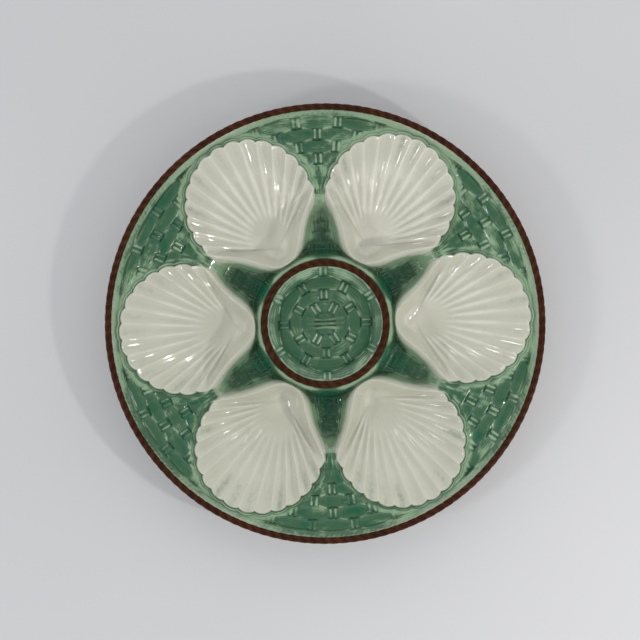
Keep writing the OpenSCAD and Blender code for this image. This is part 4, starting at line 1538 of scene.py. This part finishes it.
def add_world():
    """Soft light from all sides, darker straight above, and a plain pale background."""
    world = bpy.data.worlds.new("Studio")
    world.use_nodes = True
    tree = world.node_tree
    tree.nodes.clear()
    north, up = place_of(tree, tree.nodes.new("ShaderNodeTexCoord").outputs["Generated"])[1:]
    strength = (1.0 - up.part(0.86, 0.965)) * 0.5 + (1.0 - up.part(0.3, 0.7)) * 0.35 + 0.21
    strength = strength + north.part(0.2, 0.8) * 0.4
    light = add_node(tree, "ShaderNodeBackground", {"Color": SKY_COLOUR, "Strength": strength})
    plain = add_node(tree, "ShaderNodeBackground", {"Color": BACKGROUND, "Strength": 1.0})
    to_camera = tree.nodes.new("ShaderNodeLightPath").outputs["Is Camera Ray"]
    pick = add_node(tree, "ShaderNodeMixShader", {0: to_camera, 1: light.outputs[0], 2: plain.outputs[0]})
    add_node(tree, "ShaderNodeOutputWorld", {"Surface": pick.outputs[0]})
    bpy.context.scene.world = world


def add_camera(s):
    """A camera straight above, which shows the plate at the photograph's size, place and turn."""
    data = bpy.data.cameras.new("Camera")
    data.sensor_width = SENSOR
    reach = (CAMERA_HEIGHT - s.plate_h * MM) / (s.plate_r * MM)
    data.lens = SENSOR * RIM_PIXELS * reach / IMAGE_PIXELS
    camera = bpy.data.objects.new("Camera", data)
    scale = s.plate_r * MM / RIM_PIXELS
    right = Vector((math.cos(-PLATE_TURN), math.sin(-PLATE_TURN), 0))
    up = Vector((-right.y, right.x, 0))
    camera.location = -(right * PLATE_SHIFT_PIXELS[0] + up * PLATE_SHIFT_PIXELS[1]) * scale
    camera.location.z = CAMERA_HEIGHT
    camera.rotation_euler = (0, 0, -PLATE_TURN)
    bpy.context.scene.collection.objects.link(camera)
    bpy.context.scene.camera = camera


class PLATE_OT_stage(bpy.types.Operator):
    """Lays the table, hangs the lamps and sets the camera straight above"""

    bl_idname = "plate.stage"
    bl_label = "Table, Lamps and Camera"

    def execute(self, context):
        table = bpy.data.meshes.new("table_top")
        corners = [(x * TABLE_HALF, y * TABLE_HALF, 0) for x, y in ((-1, -1), (1, -1), (1, 1), (-1, 1))]
        table.from_pydata(corners, [], [(0, 1, 2, 3)])
        table.materials.append(glaze("Table top"))
        new_object(table)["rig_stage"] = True
        add_world()
        for lamp in LAMPS:
            add_lamp(*lamp)
        add_camera(Sizes())
        bpy.context.scene.view_settings.view_transform = "Standard"
        return {"FINISHED"}


class PLATE_PT_panel(bpy.types.Panel):
    """Lists the steps that build the plate"""

    bl_idname = "PLATE_PT_panel"
    bl_label = "Oyster Plate"
    bl_space_type = "VIEW_3D"
    bl_region_type = "UI"
    bl_category = "Plate"

    def draw(self, context):
        for step in STEPS:
            self.layout.operator(step.bl_idname)
        for group in (context.scene.plate_sizes, context.scene.plate_colours):
            box = self.layout.box()
            for key in type(group).__annotations__:
                box.prop(group, key)


STEPS = (PLATE_OT_body, PLATE_OT_shells, PLATE_OT_basketwork, PLATE_OT_centre, PLATE_OT_ropes,
         PLATE_OT_rim_band, PLATE_OT_foot, PLATE_OT_pooling, PLATE_OT_stage)
CLASSES = (PlateSizes, GlazeColours, *STEPS, PLATE_PT_panel)


def register():
    """Registers the classes and hangs the sizes and colours on the scene."""
    for each in CLASSES:
        bpy.utils.register_class(each)
    bpy.types.Scene.plate_sizes = PointerProperty(type=PlateSizes)
    bpy.types.Scene.plate_colours = PointerProperty(type=GlazeColours)


def unregister():
    """Takes back what register does."""
    del bpy.types.Scene.plate_colours
    del bpy.types.Scene.plate_sizes
    for each in reversed(CLASSES):
        bpy.utils.unregister_class(each)


def main():
    """Builds the plate step by step."""
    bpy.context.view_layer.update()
    register()
    for step in STEPS:
        area, name = step.bl_idname.split(".")
        getattr(getattr(bpy.ops, area), name)()


if __name__ == "__main__":
    main()
